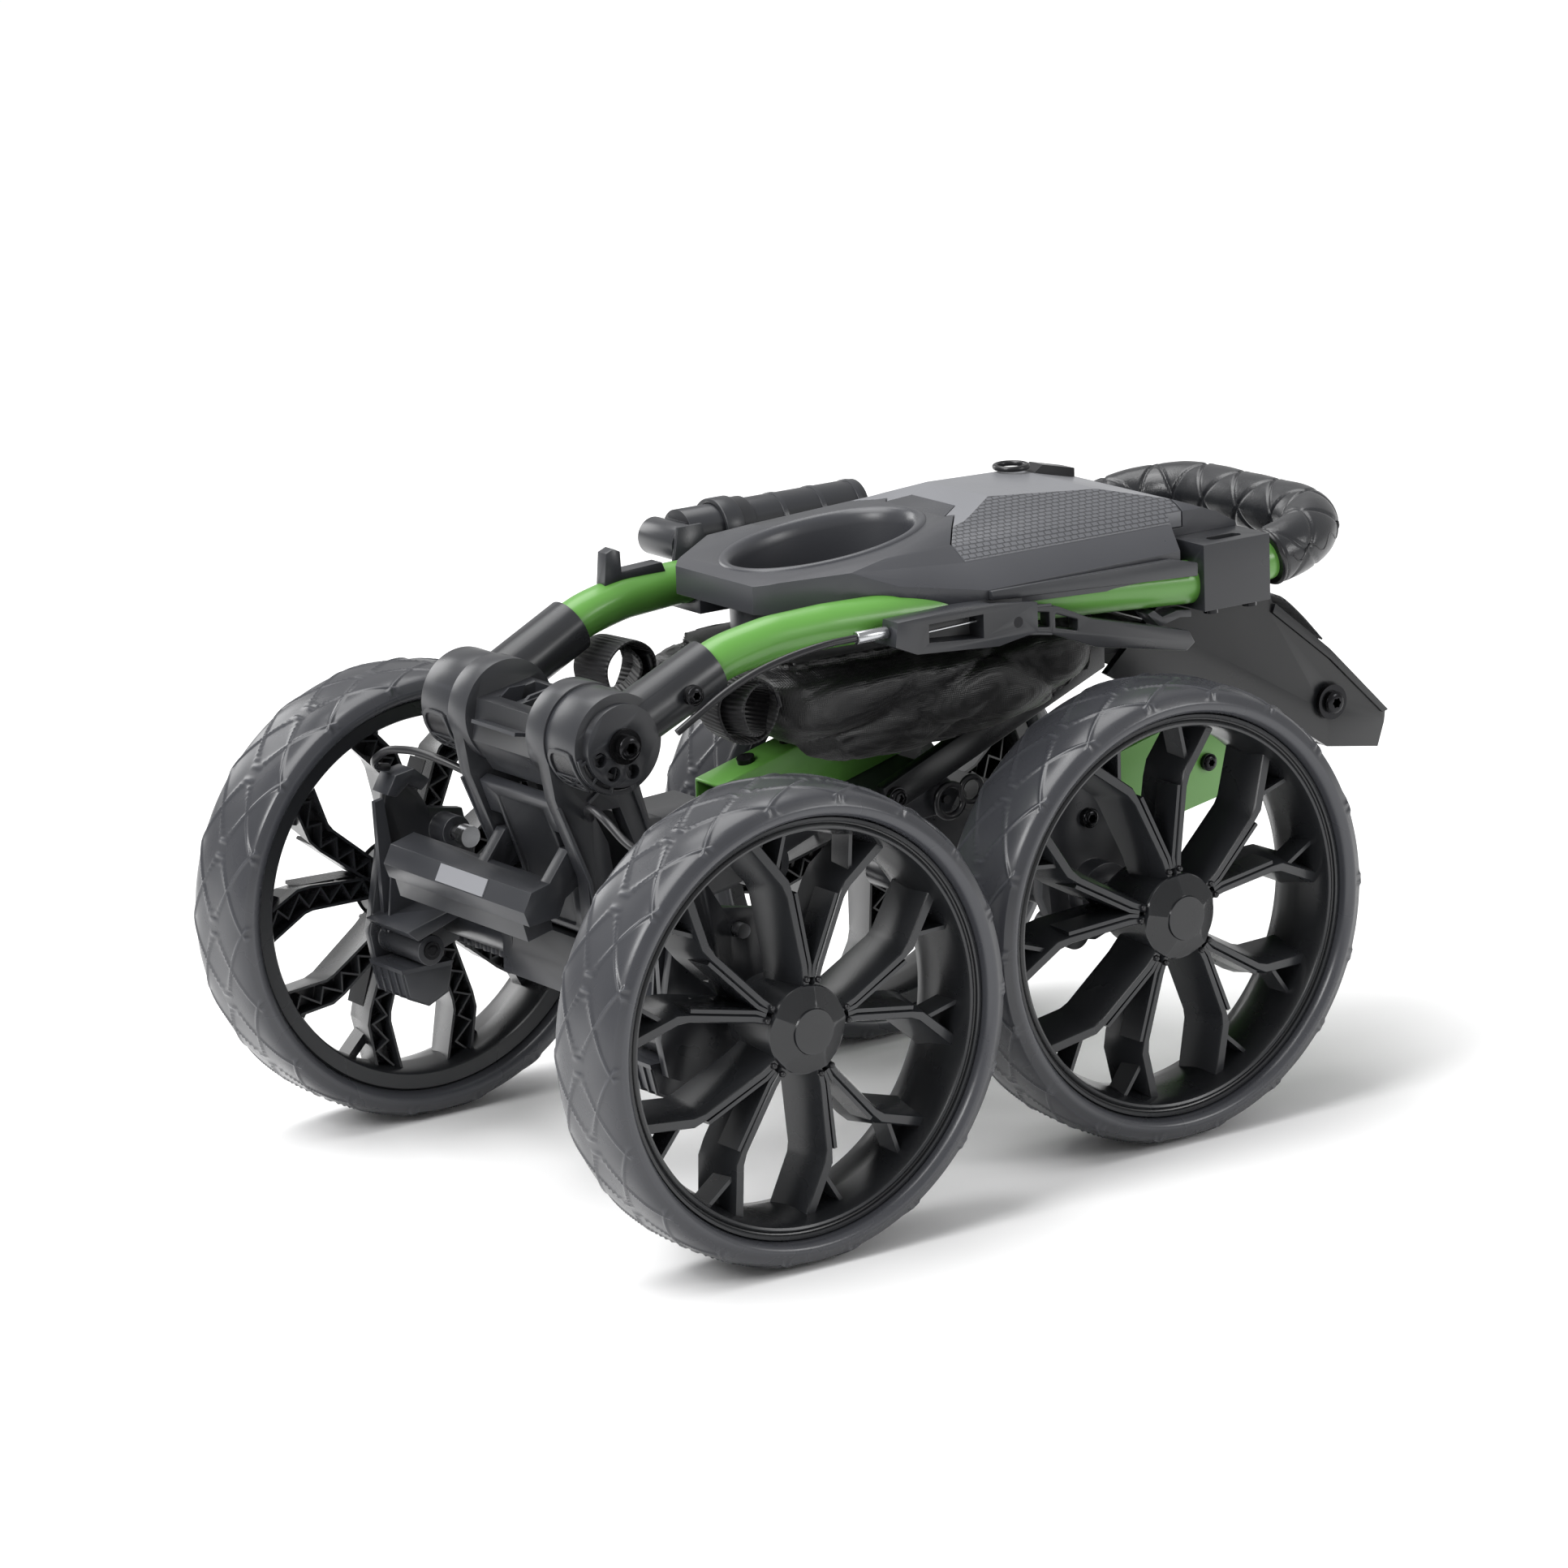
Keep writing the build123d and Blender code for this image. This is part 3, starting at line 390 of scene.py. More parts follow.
def finished(mesh: bpy.types.Mesh, name: str, sharp: float) -> bpy.types.Object:
    """Turn a mesh's faces outwards, shade it, and link it as an object.

    Args:
        mesh: the mesh to finish.
        name: the object's name.
        sharp: edges that turn by more than this many degrees stay crisp.

    Returns:
        The new object.
    """
    work = bmesh.new()
    work.from_mesh(mesh)
    bmesh.ops.recalc_face_normals(work, faces=work.faces)
    work.to_mesh(mesh)
    work.free()
    mesh.shade_smooth()
    mesh.set_sharp_from_angle(angle=math.radians(sharp))
    return linked(name, mesh)


def vectors_of(mesh: bpy.types.Mesh, name: str) -> np.ndarray:
    """Read a vector of every vertex of a mesh.

    Args:
        mesh: the mesh to read.
        name: which vector, "co" or "normal".

    Returns:
        The vectors as (n, 3), in single precision.
    """
    flat = np.zeros(len(mesh.vertices) * 3, np.float32)
    mesh.vertices.foreach_get(name, flat)
    return flat.reshape(-1, 3)


def joined(*surfaces: Surface) -> Surface:
    """Put several surfaces into one, with their point numbers shifted along.

    Args:
        *surfaces: the surfaces to join.

    Returns:
        One surface, which keeps its map only where every part has one.
    """
    starts = np.cumsum([0] + [len(s.points) for s in surfaces[:-1]])
    with_uv = all(s.uv is not None for s in surfaces)
    return Surface(
        np.vstack([s.points for s in surfaces]),
        np.vstack([s.quads + start for s, start in zip(surfaces, starts)]),
        [end + start for s, start in zip(surfaces, starts) for end in s.ends],
        np.vstack([s.uv for s in surfaces]) if with_uv else None,
    )


def from_grid(points: np.ndarray, wrap_u: bool = False, wrap_v: bool = False, caps: bool = False,
              uv: np.ndarray | None = None) -> Surface:
    """Join a grid of points (nu, nv, 3) into quads between neighbours.

    Args:
        points: the grid.
        wrap_u: the last row meets the first.
        wrap_v: the last column meets the first.
        caps: close the first and last rows with a polygon each.
        uv: optional (nu, nv, 2) map in millimetres.

    Returns:
        The surface.
    """
    nu, nv = points.shape[:2]
    number = np.arange(nu * nv).reshape(nu, nv)
    rows = np.arange(nu if wrap_u else nu - 1)
    columns = np.arange(nv if wrap_v else nv - 1)
    i, j = np.meshgrid(rows, columns, indexing="ij")
    i2, j2 = (i + 1) % nu, (j + 1) % nv
    quads = np.stack([number[i, j], number[i2, j], number[i2, j2], number[i, j2]], axis=-1).reshape(-1, 4)
    ends = [number[0, :][::-1], number[-1, :]] if caps else []
    return Surface(points.reshape(-1, 3), quads, ends, None if uv is None else uv.reshape(-1, 2))


def both_sides(right: Surface) -> Surface:
    """Join a right-hand surface and its mirror image on the left."""
    return joined(right, right.mirrored())


def points_of(x: np.ndarray | float, y: np.ndarray | float, z: np.ndarray | float) -> np.ndarray:
    """Stack x, y and z, stretched to one common shape, as points."""
    return np.stack(np.broadcast_arrays(x, y, z), axis=-1)


def full_turn(steps: int) -> np.ndarray:
    """Evenly spaced angles of one turn, in radians."""
    return np.linspace(0, TAU, steps, endpoint=False)


def unit(rows: np.ndarray) -> np.ndarray:
    """Each row scaled to a length of one."""
    return rows / np.linalg.norm(rows, axis=-1, keepdims=True)


def signed_power(value: np.ndarray, power: float) -> np.ndarray:
    """The size of a value raised to a power, with the value's sign."""
    return np.sign(value) * np.abs(value) ** power


def length_along(path: np.ndarray) -> np.ndarray:
    """Length from a path's first point to each of its points."""
    return np.concatenate([[0.0], np.cumsum(np.linalg.norm(np.diff(path, axis=0), axis=1))])


def at_lengths(path: np.ndarray, lengths: np.ndarray) -> np.ndarray:
    """Points of a path at the given lengths from its start."""
    run = length_along(path)
    return np.stack([np.interp(lengths, run, path[:, axis]) for axis in range(3)], axis=-1)


def lathe(profile: np.ndarray, steps: int) -> Surface:
    """Spin a closed profile about Y: (r cos t, y, r sin t).

    Args:
        profile: (n, 2) points of (radius, y).
        steps: how many times the profile is repeated round the turn.

    Returns:
        The closed surface.
    """
    turn = full_turn(steps)[:, None]
    radius, along = profile.T
    return from_grid(points_of(radius * np.cos(turn), along, radius * np.sin(turn)), wrap_u=True, wrap_v=True)


def frames_along(path: np.ndarray, side: np.ndarray,
                 closed: bool = False) -> tuple[np.ndarray, np.ndarray, np.ndarray]:
    """Unit tangent, side and up vectors at each point of a path.

    The tangent is the difference of the neighbours, and side is the given direction with its
    part along the tangent taken off.

    Args:
        path: (n, 3) points.
        side: (3,) or (n, 3) direction that the section's first axis follows.
        closed: the path is a loop.

    Returns:
        Tangents, sides and ups, each (n, 3).
    """
    tangent = unit(np.roll(path, -1, 0) - np.roll(path, 1, 0) if closed else np.gradient(path, axis=0))
    across = np.broadcast_to(np.asarray(side, float), path.shape)
    across = unit(across - np.sum(across * tangent, axis=1, keepdims=True) * tangent)
    return tangent, across, np.cross(tangent, across)


def carried(path: np.ndarray, section: np.ndarray, side: np.ndarray, closed: bool = False) -> Surface:
    """Carry a section along a path.

    Point (i, j) is path[i] + section[i, j, 0] * side[i] + section[i, j, 1] * up[i], and the map
    holds the length along the path and the length round the section.

    Args:
        path: (n, 3) points.
        section: (m, 2) loop, or (n, m, 2) where it changes along the path.
        side: direction of the section's first axis.
        closed: the path is a loop.

    Returns:
        The surface, with its ends closed unless the path is a loop.
    """
    _, across, up = frames_along(path, side, closed)
    loops = np.broadcast_to(section, (len(path), *section.shape[-2:]))
    points = path[:, None, :] + loops[..., :1] * across[:, None, :] + loops[..., 1:] * up[:, None, :]
    uv = np.stack(np.meshgrid(length_along(path), length_along(loops[0]), indexing="ij"), axis=-1)
    return from_grid(points, wrap_u=closed, wrap_v=True, caps=not closed, uv=uv)


def ring_section(radius: float, sides: int) -> np.ndarray:
    """A circle as (sides, 2) points."""
    turn = full_turn(sides)
    return radius * np.stack([np.cos(turn), np.sin(turn)], axis=-1)


def bar_section(half_width: float, half_thick: float) -> np.ndarray:
    """A plain rectangular bar, as (4, 2) points."""
    return np.array([(-half_width, -half_thick), (half_width, -half_thick), (half_width, half_thick),
                     (-half_width, half_thick)])


def flat_section(half_width: float, half_thick: float) -> np.ndarray:
    """A flat bar with rounded edges: a superellipse of power 6.

    Args:
        half_width: half its width.
        half_thick: half its thickness.

    Returns:
        (24, 2) points.
    """
    turn = full_turn(24)
    return np.stack([half_width * signed_power(np.cos(turn), 1 / 3),
                     half_thick * signed_power(np.sin(turn), 1 / 3)], axis=-1)


def smooth_path(points: list[tuple[float, float, float]], count: int) -> np.ndarray:
    """A smooth line through points: Catmull-Rom cubic pieces, sampled evenly in parameter.

    Args:
        points: the points that the line passes through.
        count: how many points to return.

    Returns:
        The line as (count, 3) points.
    """
    p = np.array(points, float)
    p = np.vstack([2 * p[0] - p[1], p, 2 * p[-1] - p[-2]])
    t = np.linspace(0, len(points) - 1 - 1e-9, count)
    k = t.astype(int)
    f = (t - k)[:, None]
    a, b, c, d = p[k], p[k + 1], p[k + 2], p[k + 3]
    return 0.5 * (2 * b + (c - a) * f + (2 * a - 5 * b + 4 * c - d) * f ** 2
                  + (3 * b - a - 3 * c + d) * f ** 3)


def ridge(distance: np.ndarray, width: float) -> np.ndarray:
    """A bell of height one across a line: exp(-(distance / width) squared)."""
    return np.exp(-(distance / width) ** 2)


def nearest_line(phase: np.ndarray) -> np.ndarray:
    """Distance, in cycles, from each phase to the nearest whole number."""
    return np.abs(phase - np.round(phase))


def on_part(x: float, y: float, z: float) -> Vector:
    """A drawing point in millimetres as metres in the part's frame."""
    return Vector((x * MM + AXLE_MIDDLE_X, y * MM, z * MM))


def dress(piece: bpy.types.Object, body: str, slot: str, finish: Finish | None = None,
          stands_for: tuple[str, ...] = ()) -> bpy.types.Object:
    """Give a piece its material from its finish or its slot's, its body, and hide the CAD nodes it stands for.

    Args:
        piece: the object.
        body: the CAD body it rides on.
        slot: the record's material slot.
        finish: its finish, or None for the slot's own.
        stands_for: CAD nodes that it replaces.

    Returns:
        The same object.
    """
    piece.data.materials.clear()
    piece.data.materials.append(PAINTS.get(finish or SLOT_FINISH[slot]))
    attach(piece, body)
    if stands_for:
        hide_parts(*stands_for)
    log.info("%s rides on %s", piece.name, body)
    return piece


def softened(node: str, width: float, segments: int = 2, angle: float = 28.0) -> bpy.types.Object:
    """Copy a CAD node, merge its triangles, join its flat faces, and round its edges.

    Args:
        node: the CAD node's name.
        width: how far each rounding reaches, in millimetres.
        segments: flats in each rounding.
        angle: edges that turn by less than this many degrees stay as they are.

    Returns:
        The new object, dressed in the node's own slot.
    """
    name = node + "_soft"
    work = bmesh.new()
    work.from_mesh(NODES[node].data)
    bmesh.ops.remove_doubles(work, verts=work.verts, dist=0.002 * MM)
    bmesh.ops.dissolve_limit(work, angle_limit=math.radians(0.6), verts=work.verts, edges=work.edges)
    mesh = bpy.data.meshes.new(name)
    work.to_mesh(mesh)
    work.free()
    piece = linked(name, mesh)
    bevel = piece.modifiers.new("rounding", "BEVEL")
    bevel.width = width * MM
    bevel.segments = segments
    bevel.limit_method = "ANGLE"
    bevel.angle_limit = math.radians(angle)
    bevel.use_clamp_overlap = True
    bevel.miter_outer = "MITER_ARC"
    shape = bpy.data.meshes.new_from_object(piece.evaluated_get(bpy.context.evaluated_depsgraph_get()))
    bpy.data.objects.remove(piece)
    shape.name = name
    shape.shade_smooth()
    shape.set_sharp_from_angle(angle=math.radians(38))
    return dress(linked(name, shape), BODY_OF[node], SLOT_OF[node], stands_for=(node,))


# --- wheels ---------------------------------------------------------------------------
@dataclass
class Wheel:
    """A foam tyre on a ten-spoke moulded wheel, drawn with its outer face towards -Y."""

    corner: str
    phase: float
    crown_r: float = 127.0
    half_width: float = 28.7
    lip_r: float = 111.0
    pairs: int = 5
    tread_count: int = 18       # ribs of each hand round the tyre
    rib_height: float = 0.95
    around: int = 864

    def placed(self, surface: Surface) -> Surface:
        """Move a surface from the wheel's centre to its axle; left wheels face the other way.

        Args:
            surface: a surface drawn about the wheel's centre.

        Returns:
            The surface in its place on the trolley.
        """
        x, y, z = (value / MM for value in JOINTS["spin_" + self.corner]["pos_m"])
        turned = surface if y < 0 else surface.turned("Z", 180)
        return turned.moved(x - AXLE_MIDDLE_X / MM, y, z)

    def tyre_profile(self) -> np.ndarray:
        """The tyre's section from bead to bead over the crown.

        The crown is a superellipse of power 1 / 0.62 that runs down to a smooth convex ring on
        each side wall; a shallow step parts the ring from the tread.

        Returns:
            (n, 2) points of (radius, y).
        """
        left = np.array([(106.0, -17.8), (110.9, -18.9), (111.3, -23.0), (112.0, -25.6), (113.2, -27.4),
                         (114.8, -28.3), (116.4, -28.5), (117.9, -28.1), (118.9, -27.3)])
        swing = np.linspace(math.radians(154), math.radians(26), 62)
        crown = np.stack([116.6 + 9.4 * np.sin(swing) ** 0.7, 28.2 * signed_power(np.cos(swing), 0.62)],
                         axis=-1)
        crown = crown[crown[:, 0] > 118.4]
        return np.vstack([left, crown, left[::-1] * np.array([1.0, -1.0])])

    def tyre(self) -> Surface:
        """The tyre with its criss-cross ribs.

        Ribs lie on two families of helical lines, phase = count * t / 2 pi +- 1.15 * s, where s
        runs from -1 to 1 across the tread. Each is a narrow bell on a wide one, so that the
        lozenges between them dish slightly.

        Returns:
            The closed tyre.
        """
        turn = full_turn(self.around)[:, None]
        radius, along = self.tyre_profile().T
        across = along / self.half_width
        on_tread = np.clip((radius - 118.6) / 2.2, 0, 1)
        height = 0.0
        for hand in (-1, 1):
            phase = self.tread_count * turn / TAU + hand * 1.15 * across
            gap = nearest_line(phase) * TAU * self.crown_r / self.tread_count
            height = np.maximum(height, ridge(gap, 1.3) + 0.12 * ridge(gap, 5.5))
        lift = (self.rib_height * height / 1.12 - 0.1) * on_tread
        tilt = np.arctan2(np.abs(across) ** 3, 1.0)
        r = np.minimum(radius + lift * np.cos(tilt), self.crown_r - 0.05)
        y = np.clip(along + np.sign(along) * lift * np.sin(tilt), -self.half_width, self.half_width)
        return from_grid(points_of(r * np.cos(turn), y, r * np.sin(turn)), wrap_u=True, wrap_v=True)

    def barrel(self) -> Surface:
        """The rim's barrel: a beaded lip, a groove inside it, and a waist.

        Returns:
            The closed barrel.
        """
        profile = np.array([
            (105.9, -18), (110.7, -19.2), (110.9, -21.6), (110.3, -22.6), (108.9, -22.9), (108.2, -22.2),
            (107.9, -20.9), (107.2, -20.6), (106.6, -21.3), (105.4, -21.9), (104.2, -21.4), (103.6, -20.2),
            (102.0, -14.0), (99.6, -3.0), (98.9, 2.0), (99.6, 12.0), (101.0, 20.4), (102.0, 21.7),
            (109.8, 21.9), (110.9, 21.0), (110.9, 19.4), (105.9, 18)])
        return lathe(profile, 240)

    def strip(self, plan: np.ndarray, widths: np.ndarray, depths: np.ndarray) -> Surface:
        """A wall that follows a line in the wheel's plane.

        Point (i, j) is plan[i] + widths[i, j] * normal[i], at depths[i, j] along Y; the normal is
        mitred at each corner.

        Args:
            plan: (n, 2) points in the wheel's plane.
            widths: (n, m) offsets across the line.
            depths: (n, m) places along Y.

        Returns:
            The closed strip.
        """
        step = unit(np.diff(plan, axis=0))
        before = np.vstack([step[:1], step])
        bisector = unit(before + np.vstack([step, step[-1:]]))
        normal = np.stack([-bisector[:, 1], bisector[:, 0]], axis=-1)
        stretch = 1 / np.sum(bisector * before, axis=1)
        spread = plan[:, None, :] + (widths * stretch[:, None])[..., None] * normal[:, None, :]
        return from_grid(points_of(spread[..., 0], depths, spread[..., 1]), wrap_v=True, caps=True)

    def tapered(self, plan: np.ndarray, foot: float, top: float, back: np.ndarray | float,
                front: np.ndarray | float) -> Surface:
        """A strip of four sides that narrows from its foot at the back to its top at the front.

        Args:
            plan: (n, 2) points in the wheel's plane.
            foot: half its width at the back.
            top: half its width at the front.
            back: place of the foot along Y, one for all or one for each point.
            front: place of the top along Y, in the same way.

        Returns:
            The closed strip.
        """
        widths = np.tile([-foot, foot, top, -top], (len(plan), 1))
        back, front = np.broadcast_to(back, len(plan)), np.broadcast_to(front, len(plan))
        return self.strip(plan, widths, np.stack([back, back, front, front], axis=-1))

    def polar(self, stations: list[tuple[float, float]]) -> np.ndarray:
        """Stations of (radius, degrees) as points in the wheel's plane."""
        r, t = np.array(stations).T
        return np.stack([r * np.cos(np.radians(t)), r * np.sin(np.radians(t))], axis=-1)

    def blade(self, angle: float, side: int) -> Surface:
        """One arm: a narrow outer ridge that flares into a channel, open to the inner side.

        Args:
            angle: direction of the arm's pair, in degrees.
            side: -1 or 1, which arm of the pair.

        Returns:
            The closed arm.
        """
        stations = [(19.0, 6.5), (33.0, 8.6), (70.0, 13.4), (77.0, 14.6), (103.0, 23.4)]
        plan = self.polar([(r, angle + side * t) for r, t in stations])
        front = np.array([-21.5, -20.5, -16.8, -16.0, -12.5])
        back = np.array([9.0, 9.0, 10.5, 11.0, 13.0])
        foot = np.array([5.6, 6.2, 7.2, 7.6, 8.2])
        top = np.array([2.0, 2.0, 2.2, 2.8, 3.0])
        wall, channel = 1.5, 9.0
        widths = np.stack([-foot, -foot + wall, -foot + wall + 0.6, foot - wall - 0.6, foot - wall, foot,
                           top, top - 0.7, -top + 0.7, -top], axis=-1)
        depths = np.stack([back, back, back - channel, back - channel, back, back,
                           front + 1.0, front, front, front + 1.0], axis=-1)
        return self.strip(plan, widths, depths)

    def inner_ridge(self, angle: float, side: int) -> Surface:
        """The thin ridge from the pair's apex to the arm's kink; a slot is left beside it.

        Args:
            angle: direction of the arm's pair, in degrees.
            side: -1 or 1, which arm of the pair.

        Returns:
            The closed ridge.
        """
        plan = self.polar([(r, angle + side * t) for r, t in ((27.0, 2.2), (33.0, 2.4), (71.0, 10.4))])
        front = np.array([-20.6, -20.0, -16.6])
        return self.tapered(plan, 1.7, 1.0, front + 17, front)

    def branch(self, angle: float, side: int) -> Surface:
        """The short strut that closes a small window between an arm and the rim."""
        plan = self.polar([(82.0, angle + side * 16.4), (103.0, angle + side * 11.6)])
        return self.tapered(plan, 2.4, 1.1, 1.0, -12.0)

    def zigzag(self, angle: float, side: int) -> Surface:
        """Thin stiffening wall that zigzags inside an arm's channel.

        Args:
            angle: direction of the arm's pair, in degrees.
            side: -1 or 1, which arm of the pair.

        Returns:
            The closed wall.
        """
        steps = 11
        r = np.linspace(31.0, 99.0, steps)
        t = angle + side * np.interp(r, [19, 33, 72, 77, 103], [6.5, 8.6, 13.6, 14.6, 23.4])
        sway = np.degrees(4.6 / r) * np.where(np.arange(steps) % 2, 1, -1)
        slope = np.linspace(0, 2.0, steps)
        return self.tapered(self.polar(list(zip(r, t + sway))), 0.55, 0.55, 9.6 + slope, 2.0 + slope)

    def hub(self) -> Surface:
        """The hub barrel behind the cap, with a stepped inner end and its bore.

        Returns:
            The closed barrel.
        """
        profile = np.array([(6.1, -20.6), (20.4, -20.8), (22.4, -19.0), (22.0, 17.0), (19.0, 22.0),
                            (16.0, 23.0), (15.6, 25.4), (14.8, 25.9), (6.1, 25.9)])
        return lathe(profile, 72)

    def rim(self) -> Surface:
        """The whole moulded wheel: barrel, hub, and the arms of each pair with their ribs.

        Returns:
            The joined parts.
        """
        parts = [self.barrel(), self.hub()]
        for angle in self.phase + np.arange(self.pairs) * 360 / self.pairs:
            for side in (-1, 1):
                parts += [self.blade(angle, side), self.inner_ridge(angle, side), self.branch(angle, side),
                          self.zigzag(angle, side)]
        return joined(*parts)

    def cap(self) -> Surface:
        """Domed cap with five flat petals round a plain disc.

        Beyond the disc the face falls by half of how far a point lies past a petal's inner edge,
        r * cos(t - nearest petal) - 11, so that each petal is flat and meets its neighbour in a crease.

        Returns:
            The closed cap.
        """
        rings = np.array([6.0, 11.2, 11.9, 12.3, 12.9, 14.5, 17.0, 19.5, 21.6, 23.0, 23.5, 23.5])
        r, t = np.meshgrid(rings, full_turn(120), indexing="ij")
        petal = math.radians(360 / self.pairs)
        offset = t - math.radians(self.phase) - petal / 2
        nearest = offset - petal * np.round(offset / petal)
        y = -27.6 + 0.5 * np.clip(r * np.cos(nearest) - 11.0, 0, None)
        y = np.where(r <= 12.0, -28.3, y)
        y = np.where(r <= 11.3, -28.35, y)
        y[-2:] = np.array([[-21.6], [-21.1]])
        return from_grid(points_of(r * np.cos(t), y, r * np.sin(t)), wrap_v=True, caps=True)

    def studs(self) -> Surface:
        """Small round bosses at the apex of each pair.

        Returns:
            The joined bosses.
        """
        profile = np.array([(0.05, -23.4), (0.9, -23.2), (1.5, -22.6), (1.7, -21.6), (1.7, -18.0),
                            (0.05, -18.0)])
        boss = lathe(profile, 14)
        stations = [(26.2, self.phase + pair * 360 / self.pairs + side * 8.0)
                    for pair in range(self.pairs) for side in (-1, 1)]
        return joined(*(boss.moved(x, 0, z) for x, z in self.polar(stations)))

    def build(self) -> None:
        """Make and dress the wheel's pieces."""
        body = "wheel_" + self.corner
        for part, surface, sharp, slot in (("tyre", self.tyre(), 60, "tyre_foam"),
                                           ("rim", self.rim(), 30, "wheel_plastic"),
                                           ("cap", self.cap(), 14, "wheel_plastic")):
            piece = self.placed(surface).to_piece(f"{part}_{self.corner}_finished", sharp)
            dress(piece, body, slot, stands_for=(f"{part}_{self.corner}",))
        studs = self.placed(self.studs()).to_piece(f"studs_{self.corner}", 50)
        dress(studs, body, "wheel_plastic", JACKET)


# --- handle ---------------------------------------------------------------------------
@dataclass
class GripCover:
    """Quilted leather sleeve over the loop of the handle."""

    start: tuple[float, float, float] = (264.5, -80.0, 293.55)
    corner: tuple[float, float, float] = (318.0, -80.0, 305.0)
    bend_r: float = 44.0
    radius: float = 16.1
    diamond: float = 31.0     # length of one quilted diamond
    around: int = 72

    def path(self) -> np.ndarray:
        """The loop: straight, a quarter circle, the cross bar, and back.

        Returns:
            (n, 3) points.
        """
        start, corner = np.array(self.start), np.array(self.corner)
        length = np.linalg.norm(corner - start)
        half = -corner[1]
        plain, bar_half = length - self.bend_r, half - self.bend_r
        run_in = np.stack([np.linspace(0, plain, 12), np.full(12, -half)], axis=-1)
        swing = np.linspace(-math.pi / 2, 0, 40)[1:]
        bend = np.array([plain, -bar_half]) + self.bend_r * np.stack([np.cos(swing), np.sin(swing)], axis=-1)
        bar = np.stack([np.full(43, length), np.linspace(-bar_half, bar_half, 44)[1:]], axis=-1)
        other_side = np.array([1.0, -1.0])
        flat = np.vstack([run_in, bend, bar, (bend * other_side)[::-1][1:], (run_in * other_side)[::-1][1:]])
        base = np.array([start[0], 0.0, start[2]])
        return base + flat[:, :1] * unit(corner - start) + flat[:, 1:] * ACROSS

    def sleeve(self) -> Surface:
        """The sleeve's surface.

        Stitch lines are two families, phase = length / diamond +- 2 * angle / 2 pi; each sinks a
        narrow groove, and the leather between them swells with the product of the two distances.

        Returns:
            The closed sleeve.
        """
        coarse = self.path()
        steps = np.linspace(0, length_along(coarse)[-1], 560)
        turn = full_turn(self.around)[None, :]
        along = steps[:, None]
        groove, swell = 0.0, 1.0
        for hand in (-1, 1):
            gap = nearest_line(along / self.diamond + hand * 2 * turn / TAU)
            groove = np.maximum(groove, ridge(gap * self.diamond, 1.1))
            swell = swell * np.clip(gap * 2, 0, 1) ** 0.5
        end = np.clip(np.minimum(along, steps[-1] - along) / 3.0, 0, 1) ** 0.5
        radius = (self.radius - 1.0 * groove + 0.45 * swell) - 2.2 * (1 - end)
        section = np.stack([radius * np.cos(turn), radius * np.sin(turn)], axis=-1)
        return carried(at_lengths(coarse, steps), section, UP)

    def seam(self) -> Surface:
        """Lacing along the inside of the loop: a raised cord that weaves from side to side.

        Returns:
            The closed lace.
        """
        coarse = self.path()
        steps = np.linspace(6, length_along(coarse)[-1] - 6, 420)
        path = at_lengths(coarse, steps)
        _, up, inward = frames_along(path, UP)
        sway = 0.20 * np.sin(steps / 7.0 * math.pi)[:, None]
        lace = path + (self.radius + 0.1) * (np.cos(sway) * inward + np.sin(sway) * up)
        return carried(lace, ring_section(0.55, 6), UP)

    def rings(self) -> Surface:
        """A dark binding ring at each end of the sleeve.

        Returns:
            The two rings.
        """
        path = self.path()
        bulge = np.array([14.9, 15.9, 16.3, 16.3, 15.9, 15.0])
        section = bulge[:, None, None] * ring_section(1.0, 48)
        ends = []
        for end, neighbour in ((path[0], path[1]), (path[-1], path[-2])):
            line = end + np.linspace(-1.2, 2.6, len(bulge))[:, None] * unit(neighbour - end)
            ends.append(carried(line, section, UP))
        return joined(*ends)

    def build(self) -> None:
        """Make and dress the sleeve, its lacing and its end rings."""
        sleeve = self.sleeve().to_piece("quilted_sleeve", 60)
        dress(sleeve, "handle", "leatherette", stands_for=("grip",))
        dress(self.seam().to_piece("sleeve_lacing"), "handle", "leatherette", JACKET)
        dress(self.rings().to_piece("sleeve_rings"), "handle", "leatherette", JACKET)


